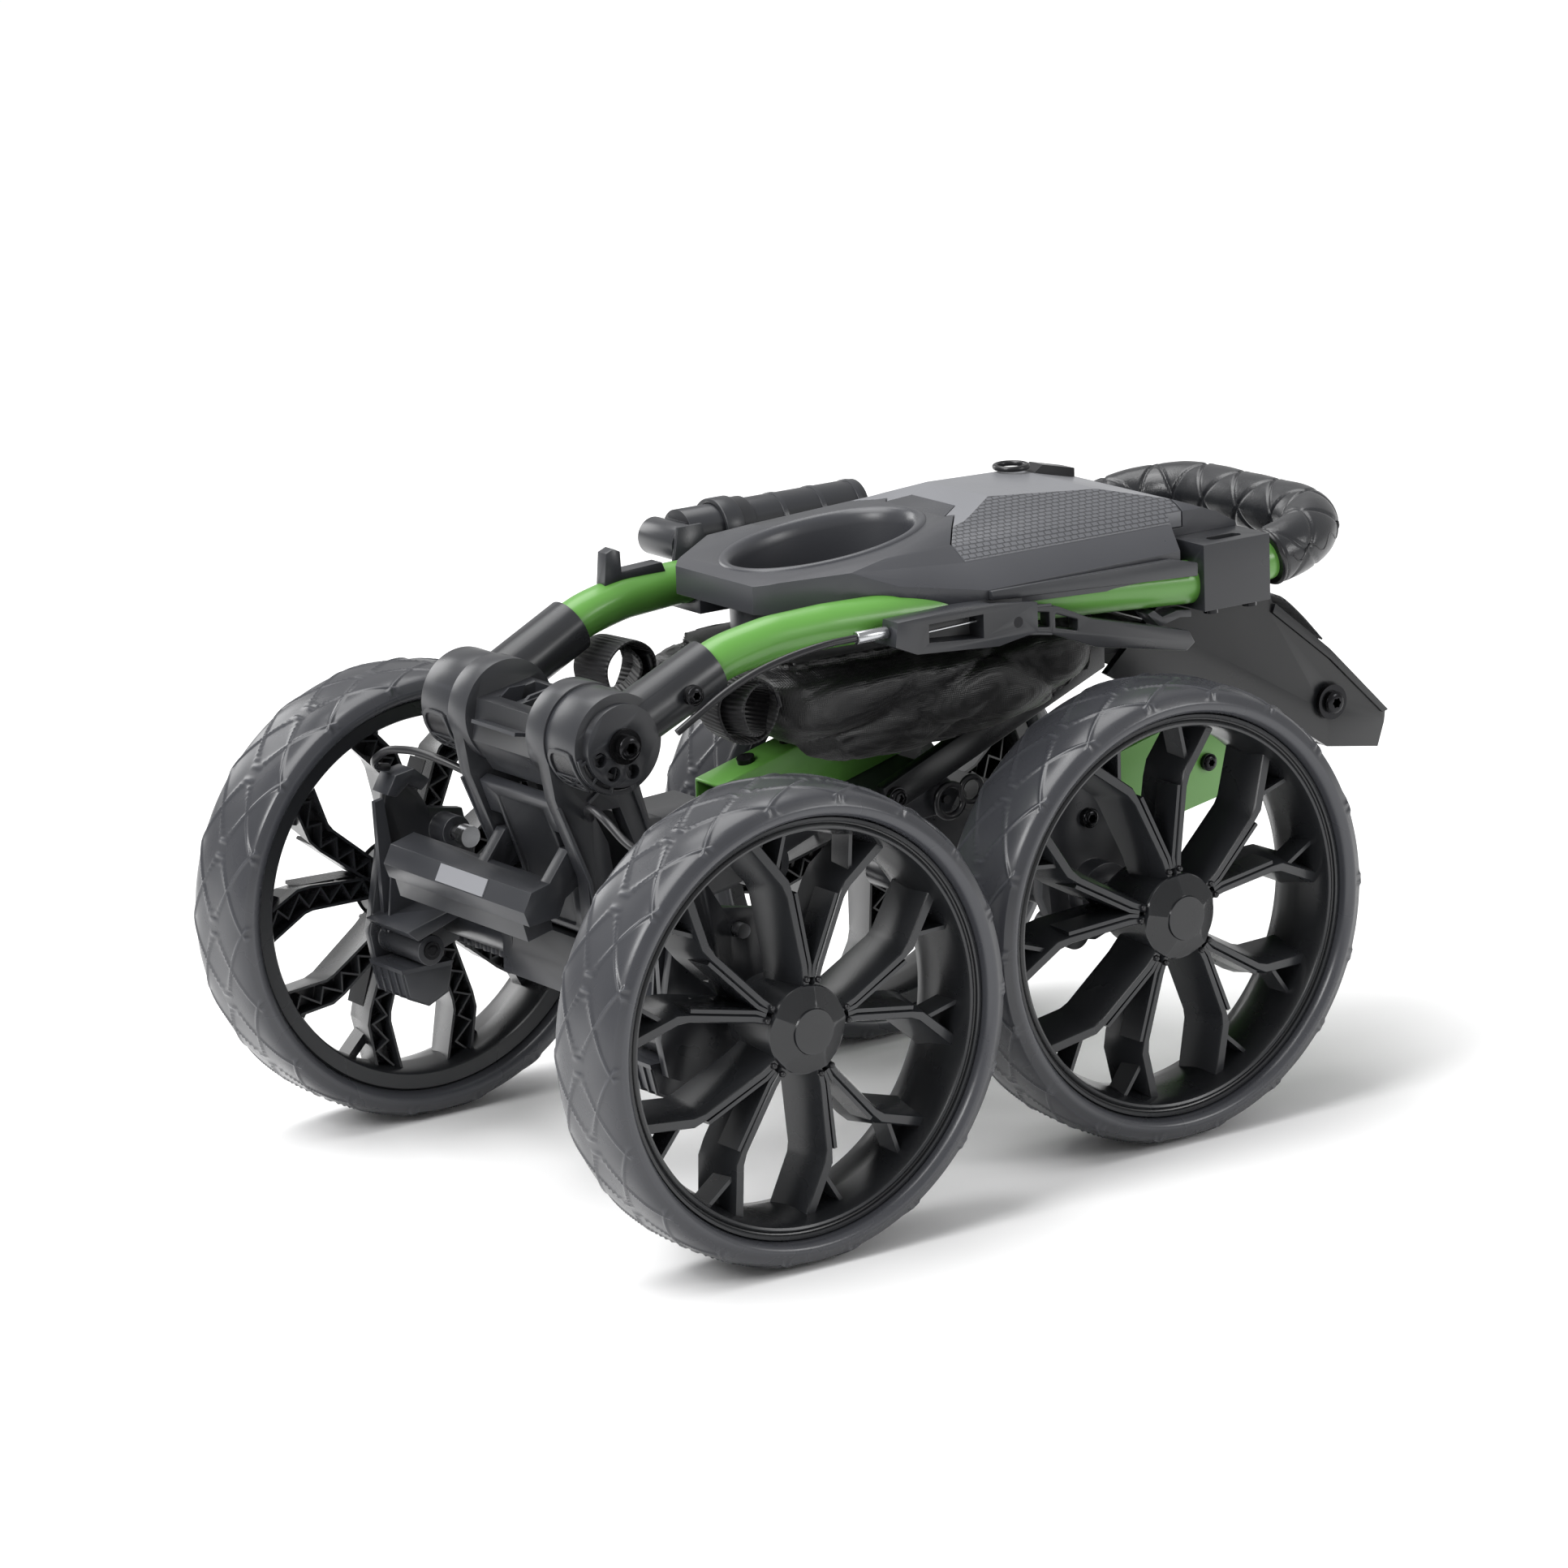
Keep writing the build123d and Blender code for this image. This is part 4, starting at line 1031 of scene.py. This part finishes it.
# --- bag ------------------------------------------------------------------------------
@dataclass
class Bag:
    """Soft accessory bag that hangs folded under the console."""

    x0: float = -62.0
    x1: float = 168.0
    top: float = 280.5
    half_width: float = 75.0
    crease_depth: float = 6.0
    most_swell: float = 6.0   # how far the cloth may move a point
    cloth_frames: int = 20
    seed: int = 11

    def low_edge(self, x: np.ndarray) -> np.ndarray:
        """Height of the bag's lowest fold at each x."""
        return np.interp(x, [-62, -50, -34, -12, 20, 90, 130, 156, 168],
                         [246, 233, 226, 222.5, 221.5, 221.5, 230, 246, 262])

    def beam_clear(self, x: np.ndarray) -> np.ndarray:
        """Height that the bag keeps over the beam at each x."""
        return np.interp(x, [-62, -20, 30, 110, 150, 168], [240, 230, 241, 260, 271, 279])

    def shell(self) -> Surface:
        """A lofted sack: a superellipse at each x, lifted over the beam, drawn in at both ends.

        Returns:
            The closed sack.
        """
        lead = np.linspace(0, 1, 92)[:, None]
        x = self.x0 + (self.x1 - self.x0) * lead
        turn = full_turn(120)[None, :]
        pinch = (1 - np.abs(2 * lead - 1) ** 8) ** 0.5
        low = self.low_edge(x)
        middle, reach = 0.5 * (self.top + low), 0.5 * (self.top - low)
        y = self.half_width * (0.6 + 0.4 * pinch) * signed_power(np.cos(turn), 0.5)
        z = middle + reach * (0.45 + 0.55 * pinch) * signed_power(np.sin(turn), 0.55)
        over_beam = 1 / (1 + np.exp((np.abs(y) - 50.0) / 3.5))
        floor = low + (self.beam_clear(x) - low) * over_beam
        return from_grid(points_of(x, y, np.maximum(z, floor)), wrap_v=True, caps=True)

    def folds(self, co: np.ndarray) -> np.ndarray:
        """Creases at points of the shell.

        Six trains of waves run nearly along the bag, each bent by a slower wave, and the sharp
        side of |sin| makes the creases; their sum is scaled to a few millimetres.

        Args:
            co: (n, 3) points in millimetres.

        Returns:
            (n,) heights, before their scale.
        """
        rng = np.random.default_rng(self.seed)
        x, y, z = co.T
        total = np.zeros(len(co))
        for size in (1.0, 0.8, 0.6, 0.45, 0.3, 0.25):
            tilt = rng.uniform(-0.55, 0.55)
            pitch = rng.uniform(34, 70) * (0.45 + 0.55 * size)
            bend = 9 * np.sin(x / rng.uniform(34, 60) + rng.uniform(0, TAU))
            bend = bend + 5 * np.sin(y / 23 + rng.uniform(0, TAU))
            phase = (z * math.cos(tilt) + x * math.sin(tilt) + bend) / pitch * math.pi + rng.uniform(0, TAU)
            swell = 0.6 + 0.4 * np.sin(x / rng.uniform(40, 90) + rng.uniform(0, TAU))
            total += size * swell * (np.abs(np.sin(phase)) ** 0.55 - 0.75)
        return total

    def build(self) -> None:
        """Make the sack, let it swell as cloth, crease it, and dress it.

        Creases fade out towards the held top, and the result is kept off the beam and inside the
        sack's outline.
        """
        piece = self.shell().to_piece("folded_bag", 80)
        self.swell(piece)
        mesh = piece.data
        origin = np.array([AXLE_MIDDLE_X, 0, 0])
        drawing = (vectors_of(mesh, "co").astype(float) - origin) / MM
        free = np.clip((self.top - 3 - drawing[:, 2]) / 8, 0, 1)
        push = self.folds(drawing) * self.crease_depth * free - 1.6
        x, y, z = (drawing + vectors_of(mesh, "normal").astype(float) * push[:, None]).T
        y = np.clip(y, -78.0, 78.0)
        lowest = np.where(np.abs(y) < 48, self.beam_clear(x) - 1.5, self.low_edge(x) - 2.5)
        z = np.clip(z, lowest, self.top + 1.5)
        final = points_of(x, y, z) * MM + origin
        mesh.vertices.foreach_set("co", final.ravel().astype(np.float32))
        mesh.update()
        dress(piece, "handle", "bag_fabric", stands_for=("accessory_bag",))

    def swell(self, piece: bpy.types.Object) -> None:
        """Run cloth on the sack, held along its top, and keep each point within a few millimetres.

        Args:
            piece: the sack; its mesh takes the result.
        """
        mesh = piece.data
        start = vectors_of(mesh, "co")
        held = piece.vertex_groups.new(name="held")
        tops = np.nonzero(start[:, 2] > (self.top - 3.0) * MM)[0]
        held.add([int(i) for i in tops], 1.0, "REPLACE")
        cloth = piece.modifiers.new("cloth", "CLOTH")
        cloth.settings.vertex_group_mass = "held"
        cloth.settings.use_pressure = True
        cloth.settings.uniform_pressure_force = 2.0
        cloth.settings.shrink_min = -0.10
        cloth.settings.tension_stiffness = 8.0
        cloth.settings.bending_stiffness = 0.2
        cloth.settings.quality = 6
        cloth.settings.effector_weights.gravity = 0.15
        cloth.collision_settings.use_collision = False
        scene = bpy.context.scene
        for step in range(1, self.cloth_frames + 1):
            scene.frame_set(step)
        result = piece.evaluated_get(bpy.context.evaluated_depsgraph_get())
        shift = vectors_of(result.data, "co") - start
        reach = np.linalg.norm(shift, axis=1, keepdims=True)
        shift *= np.minimum(1.0, self.most_swell * MM / np.maximum(reach, 1e-9))
        piece.modifiers.remove(cloth)
        scene.frame_set(1)
        piece.vertex_groups.clear()
        mesh.vertices.foreach_set("co", (start + shift).ravel())
        mesh.update()


@dataclass
class Straps:
    """Ribbed webbing loops at the rear of the bag."""

    centre: tuple[float, float] = (-77.0, 261.0)

    def loop(self, y: float, half_width: float, lean: float, squash: float, radius: float) -> Surface:
        """A band round an oval in the XZ plane.

        The oval's radius swells by 6% three times round, where the webbing is stiff.

        Args:
            y: place of its middle across the trolley.
            half_width: half the webbing's width.
            lean: how far it is turned about Z, in degrees.
            squash: height of the oval over its length.
            radius: half the oval's length.

        Returns:
            The closed band.
        """
        turn = full_turn(64)
        x = radius * (1 + 0.06 * np.sin(3 * turn)) * np.cos(turn)
        path = points_of(x, 0.0, radius * squash * np.sin(turn))
        band = carried(path, flat_section(half_width, 0.9), ACROSS, closed=True)
        return band.turned("Z", lean).moved(self.centre[0], y, self.centre[1])

    def buckle(self, y: float) -> Surface:
        """A small rectangular keeper on the loop's front.

        Args:
            y: place of its middle across the trolley.

        Returns:
            The closed keeper.
        """
        corners = np.array([(-3.5, -13, 0), (3.5, -13, 0), (3.5, 13, 0), (-3.5, 13, 0)], float)
        sides = zip(corners, np.roll(corners, -1, 0))
        path = np.vstack([np.linspace(start, end, 8, endpoint=False) for start, end in sides])
        keeper = carried(path, ring_section(1.3, 8), UP, closed=True)
        return keeper.turned("Y", 74).moved(self.centre[0] + 15.5, y, self.centre[1] + 4)

    def build(self) -> None:
        """Make and dress the loops and their keepers."""
        bands = []
        for side in (-1, 1):
            bands.append(self.loop(side * 58.0, 13.5, side * 8.0, 1.0, 17.4))
            bands.append(self.loop(side * 62.0, 11.0, side * -22.0, 0.92, 14.6))
        dress(joined(*bands).to_piece("webbing_loops", 60), "handle", "webbing", stands_for=("bag_straps",))
        keepers = joined(self.buckle(-60.0), self.buckle(60.0))
        dress(keepers.to_piece("strap_keepers"), "handle", "webbing", JACKET)


# --- console --------------------------------------------------------------------------
@dataclass
class Console:
    """The moulded console on the handle: cup opening, lid and trim."""

    cup_x: float = 22.0
    cup_a: float = 57.0
    cup_b: float = 41.0

    def oval(self, grow: float, z: np.ndarray | float) -> np.ndarray:
        """The cup opening's oval at another size.

        Args:
            grow: how far it lies outside the opening.
            z: its height, one for all points or one for each.

        Returns:
            (160, 3) points.
        """
        turn = full_turn(160)
        x = self.cup_x + (self.cup_a + grow) * np.cos(turn)
        return points_of(x, (self.cup_b + grow) * np.sin(turn), z)

    def cup_lip(self) -> Surface:
        """A rounded lip round the cup opening that runs into its wall.

        The lip follows the console's own top: each of its points takes the height of the top
        just outside the opening, evened out by a running mean.

        Returns:
            The closed lip and wall.
        """
        work = bmesh.new()
        work.from_mesh(NODES["console_tray"].data)
        tree = BVHTree.FromBMesh(work)
        hits = [tree.ray_cast(on_part(*probe), Vector((0, 0, -1)))[0] for probe in self.oval(3.0, 400.0)]
        work.free()
        top = np.array([hit.z / MM if hit is not None else 330.0 for hit in hits])
        for _ in range(6):
            top = 0.25 * np.roll(top, 1) + 0.5 * top + 0.25 * np.roll(top, -1)
        lip = [(4.6, -1.0), (4.0, 0.5), (2.6, 1.3), (0.8, 1.2), (-1.2, 0.0), (-2.8, -2.6), (-3.8, -7.0)]
        wall = [(-4.6, 300.0), (-4.9, 286.0), (-1.0, 284.2), (-0.6, 300.0)]
        rings = [self.oval(grow, top + rise) for grow, rise in lip] + [self.oval(grow, z) for grow, z in wall]
        return from_grid(np.stack(rings), wrap_u=True, wrap_v=True)

    def build(self) -> None:
        """Dress the console's mouldings."""
        softened("console_tray", 1.6, 3)
        lid = softened("console_lid", 4.5, 4, angle=9.0)
        self.mark_shaded_cells(lid)
        lip = self.cup_lip().to_piece("cup_wall", 50)
        dress(lip, "handle", "console_plastic", stands_for=("cup_bowl",))
        softened("console_skirts", 0.5)
        softened("clamp_boxes", 5.0, 5)
        softened("lever_housing", 1.0)
        softened("brake_lever", 1.2)

    def mark_shaded_cells(self, lid: bpy.types.Object) -> None:
        """Give the lid's sloping flanks the moulded-cell finish, whose grey is painted darker than the top as
        shade.

        Args:
            lid: the rounded lid.
        """
        lid.data.materials.append(PAINTS.get(LID_CELLS_SHADED))
        # painted shade: the sloping flanks take the darker grey of the cell finish
        for face in lid.data.polygons:
            if abs(face.normal.y) > 0.28 and face.normal.z > 0.4:
                face.material_index = 1


# --- frame and running gear -----------------------------------------------------------
# CAD nodes of the frame whose edges are rounded, with how far each rounding reaches in millimetres
ROUNDINGS: dict[str, float] = {
    "rear_casting": 1.4, "casting_cover": 0.8, "brake_bracket_left": 0.8, "brake_bracket_right": 0.8,
    "brake_shoe_left": 0.5, "brake_shoe_right": 0.5, "release_pedal": 1.2, "rear_foot": 1.2,
    "rear_axle_tube": 0.6, "strut_bracket": 0.8, "main_beam": 0.9, "beam_box": 0.7, "beam_struts": 0.5,
    "fork_arm": 0.8, "fork_hinge": 0.8, "fork_carrier": 1.2, "socket_hub_left": 1.2, "socket_hub_right": 1.2,
    "umbrella_base": 0.8, "umbrella_holder": 0.9, "umbrella_collar": 0.7, "tube_clips": 0.5,
    "cable_ferrule": 0.5,
}


@dataclass
class FrameDetails:
    """Ribs, screws, hub windows and patches that the frame mouldings carry."""

    pivot: tuple[float, float] = (-164.0, 258.0)

    def plate(self, outline: list[tuple[float, float]] | list[np.ndarray], y0: float, y1: float) -> Surface:
        """A flat plate: an outline in XZ carried from y0 to y1.

        Args:
            outline: the plate's corners in order, as (x, z).
            y0: place of one face across the trolley.
            y1: place of the other face.

        Returns:
            The closed plate.
        """
        x, z = np.array(outline, float).T
        return from_grid(points_of(x, np.array([[y0], [y1]]), z), wrap_v=True, caps=True)

    def screw(self, radius: float) -> Surface:
        """A button head with a six-lobed socket, its face towards -Y.

        The socket's rim radius is 0.42 r (1 + 0.12 cos 6 t).

        Args:
            radius: radius of the head.

        Returns:
            The closed head.
        """
        turn = full_turn(48)
        dome = np.array([(1.0, 1.2), (1.0, 0.2), (0.93, -0.5), (0.75, -1.1), (0.52, -1.4)])
        lobe = np.tile(0.42 * (1 + 0.12 * np.cos(6 * turn)), (2, 1))
        share = radius * np.vstack([np.tile(dome[:, :1], (1, len(turn))), lobe])
        depth = np.append(dome[:, 1], [-1.4, 0.2])[:, None]
        return from_grid(points_of(share * np.cos(turn), depth, share * np.sin(turn)), wrap_v=True, caps=True)

    def seats(self, *places: tuple[float, float, float, float]) -> Surface:
        """Screw heads on both sides of the trolley, facing away from its centre plane.

        Args:
            *places: x, y out from the centre plane, z, and radius of each head.

        Returns:
            The joined heads.
        """
        return both_sides(joined(*(self.screw(radius).moved(x, -y, z) for x, y, z, radius in places)))

    def screws(self) -> None:
        """Screw heads over the plain CAD ones."""
        bracket = self.screw(5.0)
        frame_heads = joined(
            self.seats((*self.at_pivot(85.2), 6.4), (334.0, 53.2, 195.0, 6.4), (31.0, 50.8, 191.0, 5.4)),
            bracket.moved(-177.0, 97.9, 114.0), bracket.moved(-177.0, -97.9, 114.0).mirrored())
        for name, heads, body in (
                ("frame_screws", frame_heads, "chassis"),
                ("socket_screws", self.seats((-121.0, 83.6, 278.5, 5.0)), "handle"),
                ("fork_screws", self.seats((136.0, 83.4, 168.0, 5.2), (270.0, 19.8, 165.0, 4.6)), "fork")):
            dress(heads.to_piece(name, 30), body, "black_steel")

    def bridge_ribs(self) -> None:
        """Ribs across the bay between the pivot drums, and the web that joins them."""
        parts = [self.plate([(-183, 262), (-170, 272), (-158, 274), (-158, 262), (-176, 250)], -1.2, 1.2)]
        for y in (-20.4, 18.8):
            outline = [(-185, 262), (-170, 273), (-160, 273), (-164, 262), (-180, 249)]
            parts.append(self.plate(outline, y, y + 1.6))
        web = np.array([(-185.5, -21, 257), (-185.5, 21, 257)])
        parts.append(carried(web, bar_section(1.0, 8.0), np.array([0.2, 0, 1.0])))
        dress(joined(*parts).to_piece("bridge_ribs", 30), "chassis", "charcoal_plastic")

    def at_pivot(self, y: float) -> tuple[float, float, float]:
        """The point of the handle's pivot at y."""
        return self.pivot[0], y, self.pivot[1]

    def on_drum(self, angle: np.ndarray | float, y: np.ndarray | float, radius: float) -> np.ndarray:
        """Points on a drum round the pivot, at angles in degrees from +X towards +Z."""
        turn = np.radians(angle)
        return points_of(self.pivot[0] + radius * np.cos(turn), y, self.pivot[1] + radius * np.sin(turn))

    def outwards(self, points: np.ndarray) -> np.ndarray:
        """Each point's offset from the pivot's axis."""
        return (points - np.array(self.at_pivot(0.0))) * np.array([1.0, 0.0, 1.0])

    def hub_lattice(self) -> None:
        """Windowed lattice on the outer face of each pivot hub: four spokes between two arcs."""
        parts = [carried(np.linspace(self.on_drum(angle, -74.6, 11.5), self.on_drum(angle, -74.2, 25.5), 4),
                         flat_section(0.9, 1.6), np.array([0.3, 0, 0.95])) for angle in (196, 226, 256, 286)]
        parts += [carried(self.on_drum(np.linspace(190, 292, 30), -74.8, radius), flat_section(0.9, 1.5),
                          ACROSS) for radius in (17.0, 25.2)]
        dress(both_sides(joined(*parts)).to_piece("hub_lattice", 40), "handle", "charcoal_plastic")

    def pedal_patch(self) -> None:
        """Blank satin patch on the release pedal's steep front facet."""
        foot, top = np.array([-201.0, 166.0]), np.array([-196.0, 176.0])
        rise = top - foot
        out = np.array([-rise[1], rise[0]]) / np.linalg.norm(rise)
        low, high = foot + 0.06 * rise, foot + 0.94 * rise
        patch = self.plate([low, high, high + 0.6 * out, low + 0.6 * out], 6.0, 52.0)
        dress(patch.to_piece("pedal_patch"), "pedal", "steel", FOIL)

    def hub_windows(self) -> None:
        """Rounded window on each hub drum: a floor painted dark as the recess's shade, a raised rim and a lattice
        across it.

        The rim's centre line is a superellipse of power 4 in the plane of angle and width.
        """
        middle, half_angle, y_middle, half_y = 212.0, 28.0, -60.5, 11.0
        floor_r, rim_r = 27.25, 27.6
        angles, ys = np.linspace(-1, 1, 24)[:, None], np.linspace(-1, 1, 10)
        floor = self.on_drum(middle + half_angle * angles, y_middle + half_y * ys, floor_r)
        inner = floor - 0.04 * self.outwards(floor)
        window = from_grid(np.concatenate([floor, inner[:, ::-1]], axis=1), wrap_v=True, caps=True)
        turn = full_turn(64)
        edge = self.on_drum(middle + half_angle * signed_power(np.cos(turn), 0.5),
                            y_middle + half_y * signed_power(np.sin(turn), 0.5), rim_r)
        parts = [carried(edge, flat_section(0.9, 1.2), self.outwards(edge), closed=True)]
        for start, end in (((2, -11), (2, 11)), ((2, -11), (24, 8)), ((24, -8), (2, 11)),
                           ((13, -11), (13, 11))):
            angle, y = np.linspace(start, end, 12).T
            line = self.on_drum(middle + angle, y_middle + y, rim_r)
            parts.append(carried(line, flat_section(0.6, 0.7), self.outwards(line)))
        # painted shade: the window's floor is drawn in dark vinyl
        dress(both_sides(window).to_piece("hub_window_shade_floors", 40), "handle", "charcoal_plastic", JACKET)
        dress(both_sides(joined(*parts)).to_piece("hub_window_rims", 50), "handle", "charcoal_plastic")

    def leg_ribs(self) -> None:
        """Raised edges on the rear body's legs, and the link, bucket, rail and web of each bracket."""
        lines = ([(-184.5, 222), (-167, 180), (-161.8, 150), (-161.8, 116)],
                 [(-140, 232), (-128, 199), (-116, 152)],
                 [(-166, 222), (-152, 232), (-139, 232)],
                 [(-161, 150), (-131, 192)],
                 [(-150, 150), (-131, 176)])
        parts = [carried(np.array([(x, -46.6, z) for x, z in line]), bar_section(0.9, 0.9), ACROSS)
                 for line in lines]
        link = [(-187, 192), (-181.5, 193), (-171, 122), (-172, 112), (-180, 107), (-184, 116)]
        bucket = [(-193, 103.5), (-189, 87), (-176, 81), (-163, 87), (-160.5, 100), (-165, 90), (-176, 84.5),
                  (-186.5, 89.5), (-190, 103)]
        rail = [(-193.4, 104.4), (-192.6, 101.8), (-161, 101.8), (-159.6, 104.4)]
        web = [(-186, 120), (-181, 168), (-158, 136)]
        parts.append(self.plate(link, -136.5, -133.0))
        parts += [self.plate(bucket, -y - 1.5, -y) for y in (104.5, 112.0, 119.5, 127.0, 134.0)]
        parts += [self.plate(rail, -136.6, -103.4), self.plate(web, -128.0, -126.4)]
        dress(both_sides(joined(*parts)).to_piece("leg_ribs", 30), "chassis", "charcoal_plastic")

    def umbrella_bands(self) -> None:
        """Stepped rings round the umbrella tube."""
        band = lathe(np.array([(14.9, -1.8), (15.5, -1.4), (15.5, 1.4), (14.9, 1.8)]), 48).turned("Z", 90)
        bands = joined(*(band.moved(x, 110.0, 315.0) for x in (66.0, 92.0, 117.0)))
        dress(bands.to_piece("umbrella_bands", 30), "umbrella", "charcoal_plastic")

    def console_lugs(self) -> None:
        """Rounded lug under each side of the console's bow, with three small ribs."""
        u, v = np.linspace(0.02, math.pi - 0.02, 20)[:, None], full_turn(40)
        bulb = points_of(14 * np.cos(u), 6.5 * np.sin(u) * np.cos(v), 6.0 * np.sin(u) * np.sin(v))
        lug = from_grid(bulb, wrap_v=True, caps=True).turned("Z", -18).moved(30.0, -82.0, 295.5)
        ribs = [self.plate([(x, 291), (x + 5, 290.5), (x + 5, 300), (x, 300)], -88.4 + 0.25 * (40 - x), -84.0)
                for x in (22.0, 30.0, 38.0)]
        dress(both_sides(joined(lug, *ribs)).to_piece("console_lugs", 40), "handle", "console_plastic")

    def lever_details(self) -> None:
        """Bright inner cable across the housing's window, the lever's pivot disc and its ribs."""
        line = np.linspace([12, -99.0, 293.0], [56, -99.0, 294.5], 12)
        dress(carried(line, ring_section(0.8, 10), UP).to_piece("inner_cable"), "handle", "steel")
        disc = lathe(np.array([(0.05, -104.0), (5.6, -104.0), (6.6, -103.2), (6.6, -101.6),
                               (0.05, -101.6)]), 40)
        slot_bar = self.plate([(-4, -0.7), (4, -0.7), (4, 0.7), (-4, 0.7)], -104.5, -103.9)
        pivot = joined(disc, slot_bar).moved(73.0, 0.0, 291.0)
        dress(pivot.to_piece("lever_pivot", 30), "lever", "charcoal_plastic")
        ribs = [self.plate(outline, -102.5, -101.7) for outline in (
            [(82, 283.6), (98, 280.8), (98, 279.6), (82, 282.4)],
            [(82, 298.0), (98, 296.8), (98, 295.6), (82, 296.8)])]
        dress(joined(*ribs).to_piece("lever_ribs", 30), "lever", "charcoal_plastic")

    def build(self) -> None:
        """Make and dress every detail, and round the frame's CAD nodes."""
        for make in (self.screws, self.bridge_ribs, self.hub_lattice, self.pedal_patch, self.hub_windows,
                     self.leg_ribs, self.umbrella_bands, self.console_lugs, self.lever_details):
            make()
        for node, width in ROUNDINGS.items():
            softened(node, width)


# --- mesh flap ------------------------------------------------------------------------
@dataclass
class MeshFlap:
    """Knitted flap stretched over the box's sloping front edge."""

    half_width: float = 41.5

    def build(self) -> None:
        """Make the flap as a thin sheet between its two edges, sagging by a cosine, and dress it."""
        low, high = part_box("front_net")
        x0, x1 = ((value - AXLE_MIDDLE_X) / MM for value in (low.x, high.x))
        line = smooth_path([(x0 + 1.5, 0, 260.8), (x0 + 12, 0, 258.5), (x0 + 26, 0, 246.5),
                            (x1 - 1.2, 0, 229.6)], 40)
        across = np.linspace(-self.half_width, self.half_width, 60)
        sag = 1.6 * np.cos(across / self.half_width * math.pi / 2)
        points = line[:, None, :] + points_of(0.0, across, sag)
        run = length_along(line)
        uv = np.stack(np.meshgrid(run, across, indexing="ij"), axis=-1)
        piece = from_grid(points, uv=uv).to_piece("mesh_flap", 80)
        thick = piece.modifiers.new("thickness", "SOLIDIFY")
        thick.thickness = 0.9 * MM
        thick.offset = 0.0
        dress(piece, "chassis", "mesh", stands_for=("front_net",))


# --- everything else that stays as CAD ------------------------------------------------
def dress_cad_nodes() -> None:
    """Give every CAD node that still shows the material of its slot."""
    for name, node in NODES.items():
        node.data.materials.clear()
        node.data.materials.append(PAINTS.get(SLOT_FINISH[SLOT_OF[name]]))
        node.data.shade_smooth()
        node.data.set_sharp_from_angle(angle=math.radians(32))


# --- studio ---------------------------------------------------------------------------
@dataclass
class Studio:
    """Pale floor, soft lights and the camera."""

    target: tuple[float, float, float] = (0.0, 12.6, 192.7)
    eye: tuple[float, float, float] = (-2064.2, -2957.0, 1097.7)
    roll: float = -0.0334
    lens: float = 157.4
    floor_half: float = 9000.0

    def floor(self) -> None:
        """A wide plain floor."""
        flat = np.array([[(-1, -1, 0), (-1, 1, 0)], [(1, -1, 0), (1, 1, 0)]], float) * self.floor_half
        floor = from_grid(flat).to_piece("studio_floor")
        floor.data.materials.append(PAINTS.get(PALE_FLOOR))

    def light(self, name: str, place: tuple[float, float, float], size: float, power: float) -> None:
        """One square softbox aimed at the trolley.

        Args:
            name: the light's name.
            place: where it stands, in metres.
            size: its side, in metres.
            power: its power, in watts.
        """
        lamp = bpy.data.lights.new(name, "AREA")
        lamp.shape = "SQUARE"
        lamp.size = size
        lamp.energy = power
        holder = linked(name, lamp)
        holder.location = place
        aim = on_part(*self.target) - Vector(place)
        holder.rotation_euler = aim.to_track_quat("-Z", "Y").to_euler()

    def sun(self) -> None:
        """One wide soft sun that lights the floor evenly."""
        lamp = bpy.data.lights.new("sky", "SUN")
        lamp.angle = math.radians(40)
        lamp.energy = 2.0
        linked("sky", lamp).rotation_euler = Vector((0.45, -0.12, -1.0)).to_track_quat("-Z", "Y").to_euler()

    def camera(self) -> None:
        """The camera, level but for a slight roll."""
        eye, target = on_part(*self.eye), on_part(*self.target)
        forward = (target - eye).normalized()
        right = forward.cross(Vector((0, 0, 1))).normalized()
        up = right.cross(forward)
        tilted_right = math.cos(self.roll) * right + math.sin(self.roll) * up
        tilted_up = -math.sin(self.roll) * right + math.cos(self.roll) * up
        data = bpy.data.cameras.new("camera")
        data.lens = self.lens
        data.sensor_width = 36.0
        data.clip_end = 50.0
        camera = linked("camera", data)
        turn = Matrix((tilted_right, tilted_up, -forward)).transposed().to_4x4()
        camera.matrix_world = Matrix.Translation(eye) @ turn
        bpy.context.scene.camera = camera

    def build(self) -> None:
        """Set the studio up: camera, floor, softboxes, sun and even air."""
        self.camera()
        self.floor()
        self.light("key", (-2.2, -0.6, 1.7), 0.9, 30.0)
        self.light("top", (0.2, 0.9, 2.4), 1.6, 26.0)
        self.light("side", (1.7, -2.3, 1.3), 0.8, 16.0)
        self.light("rear", (-0.4, 2.6, 1.2), 1.2, 14.0)
        self.sun()
        world = bpy.data.worlds.new("studio_air")
        world.use_nodes = True
        air = world.node_tree.nodes["Background"]
        air.inputs["Color"].default_value = linear("FFFFFF")
        air.inputs["Strength"].default_value = 0.5
        bpy.context.scene.world = world
        bpy.context.scene.view_settings.view_transform = "Standard"


def main() -> None:
    """Build the studio and every sub-assembly."""
    logging.basicConfig(level=logging.INFO, format="%(name)s: %(message)s")
    Studio().build()
    phases = {"rear_right": 8.0, "rear_left": 20.0, "front_right": 24.0, "front_left": 40.0}
    for corner, phase in phases.items():
        Wheel(corner, phase).build()
    GripCover().build()
    Bag().build()
    Straps().build()
    Console().build()
    FrameDetails().build()
    MeshFlap().build()
    dress_cad_nodes()


if __name__ == "__main__":
    main()
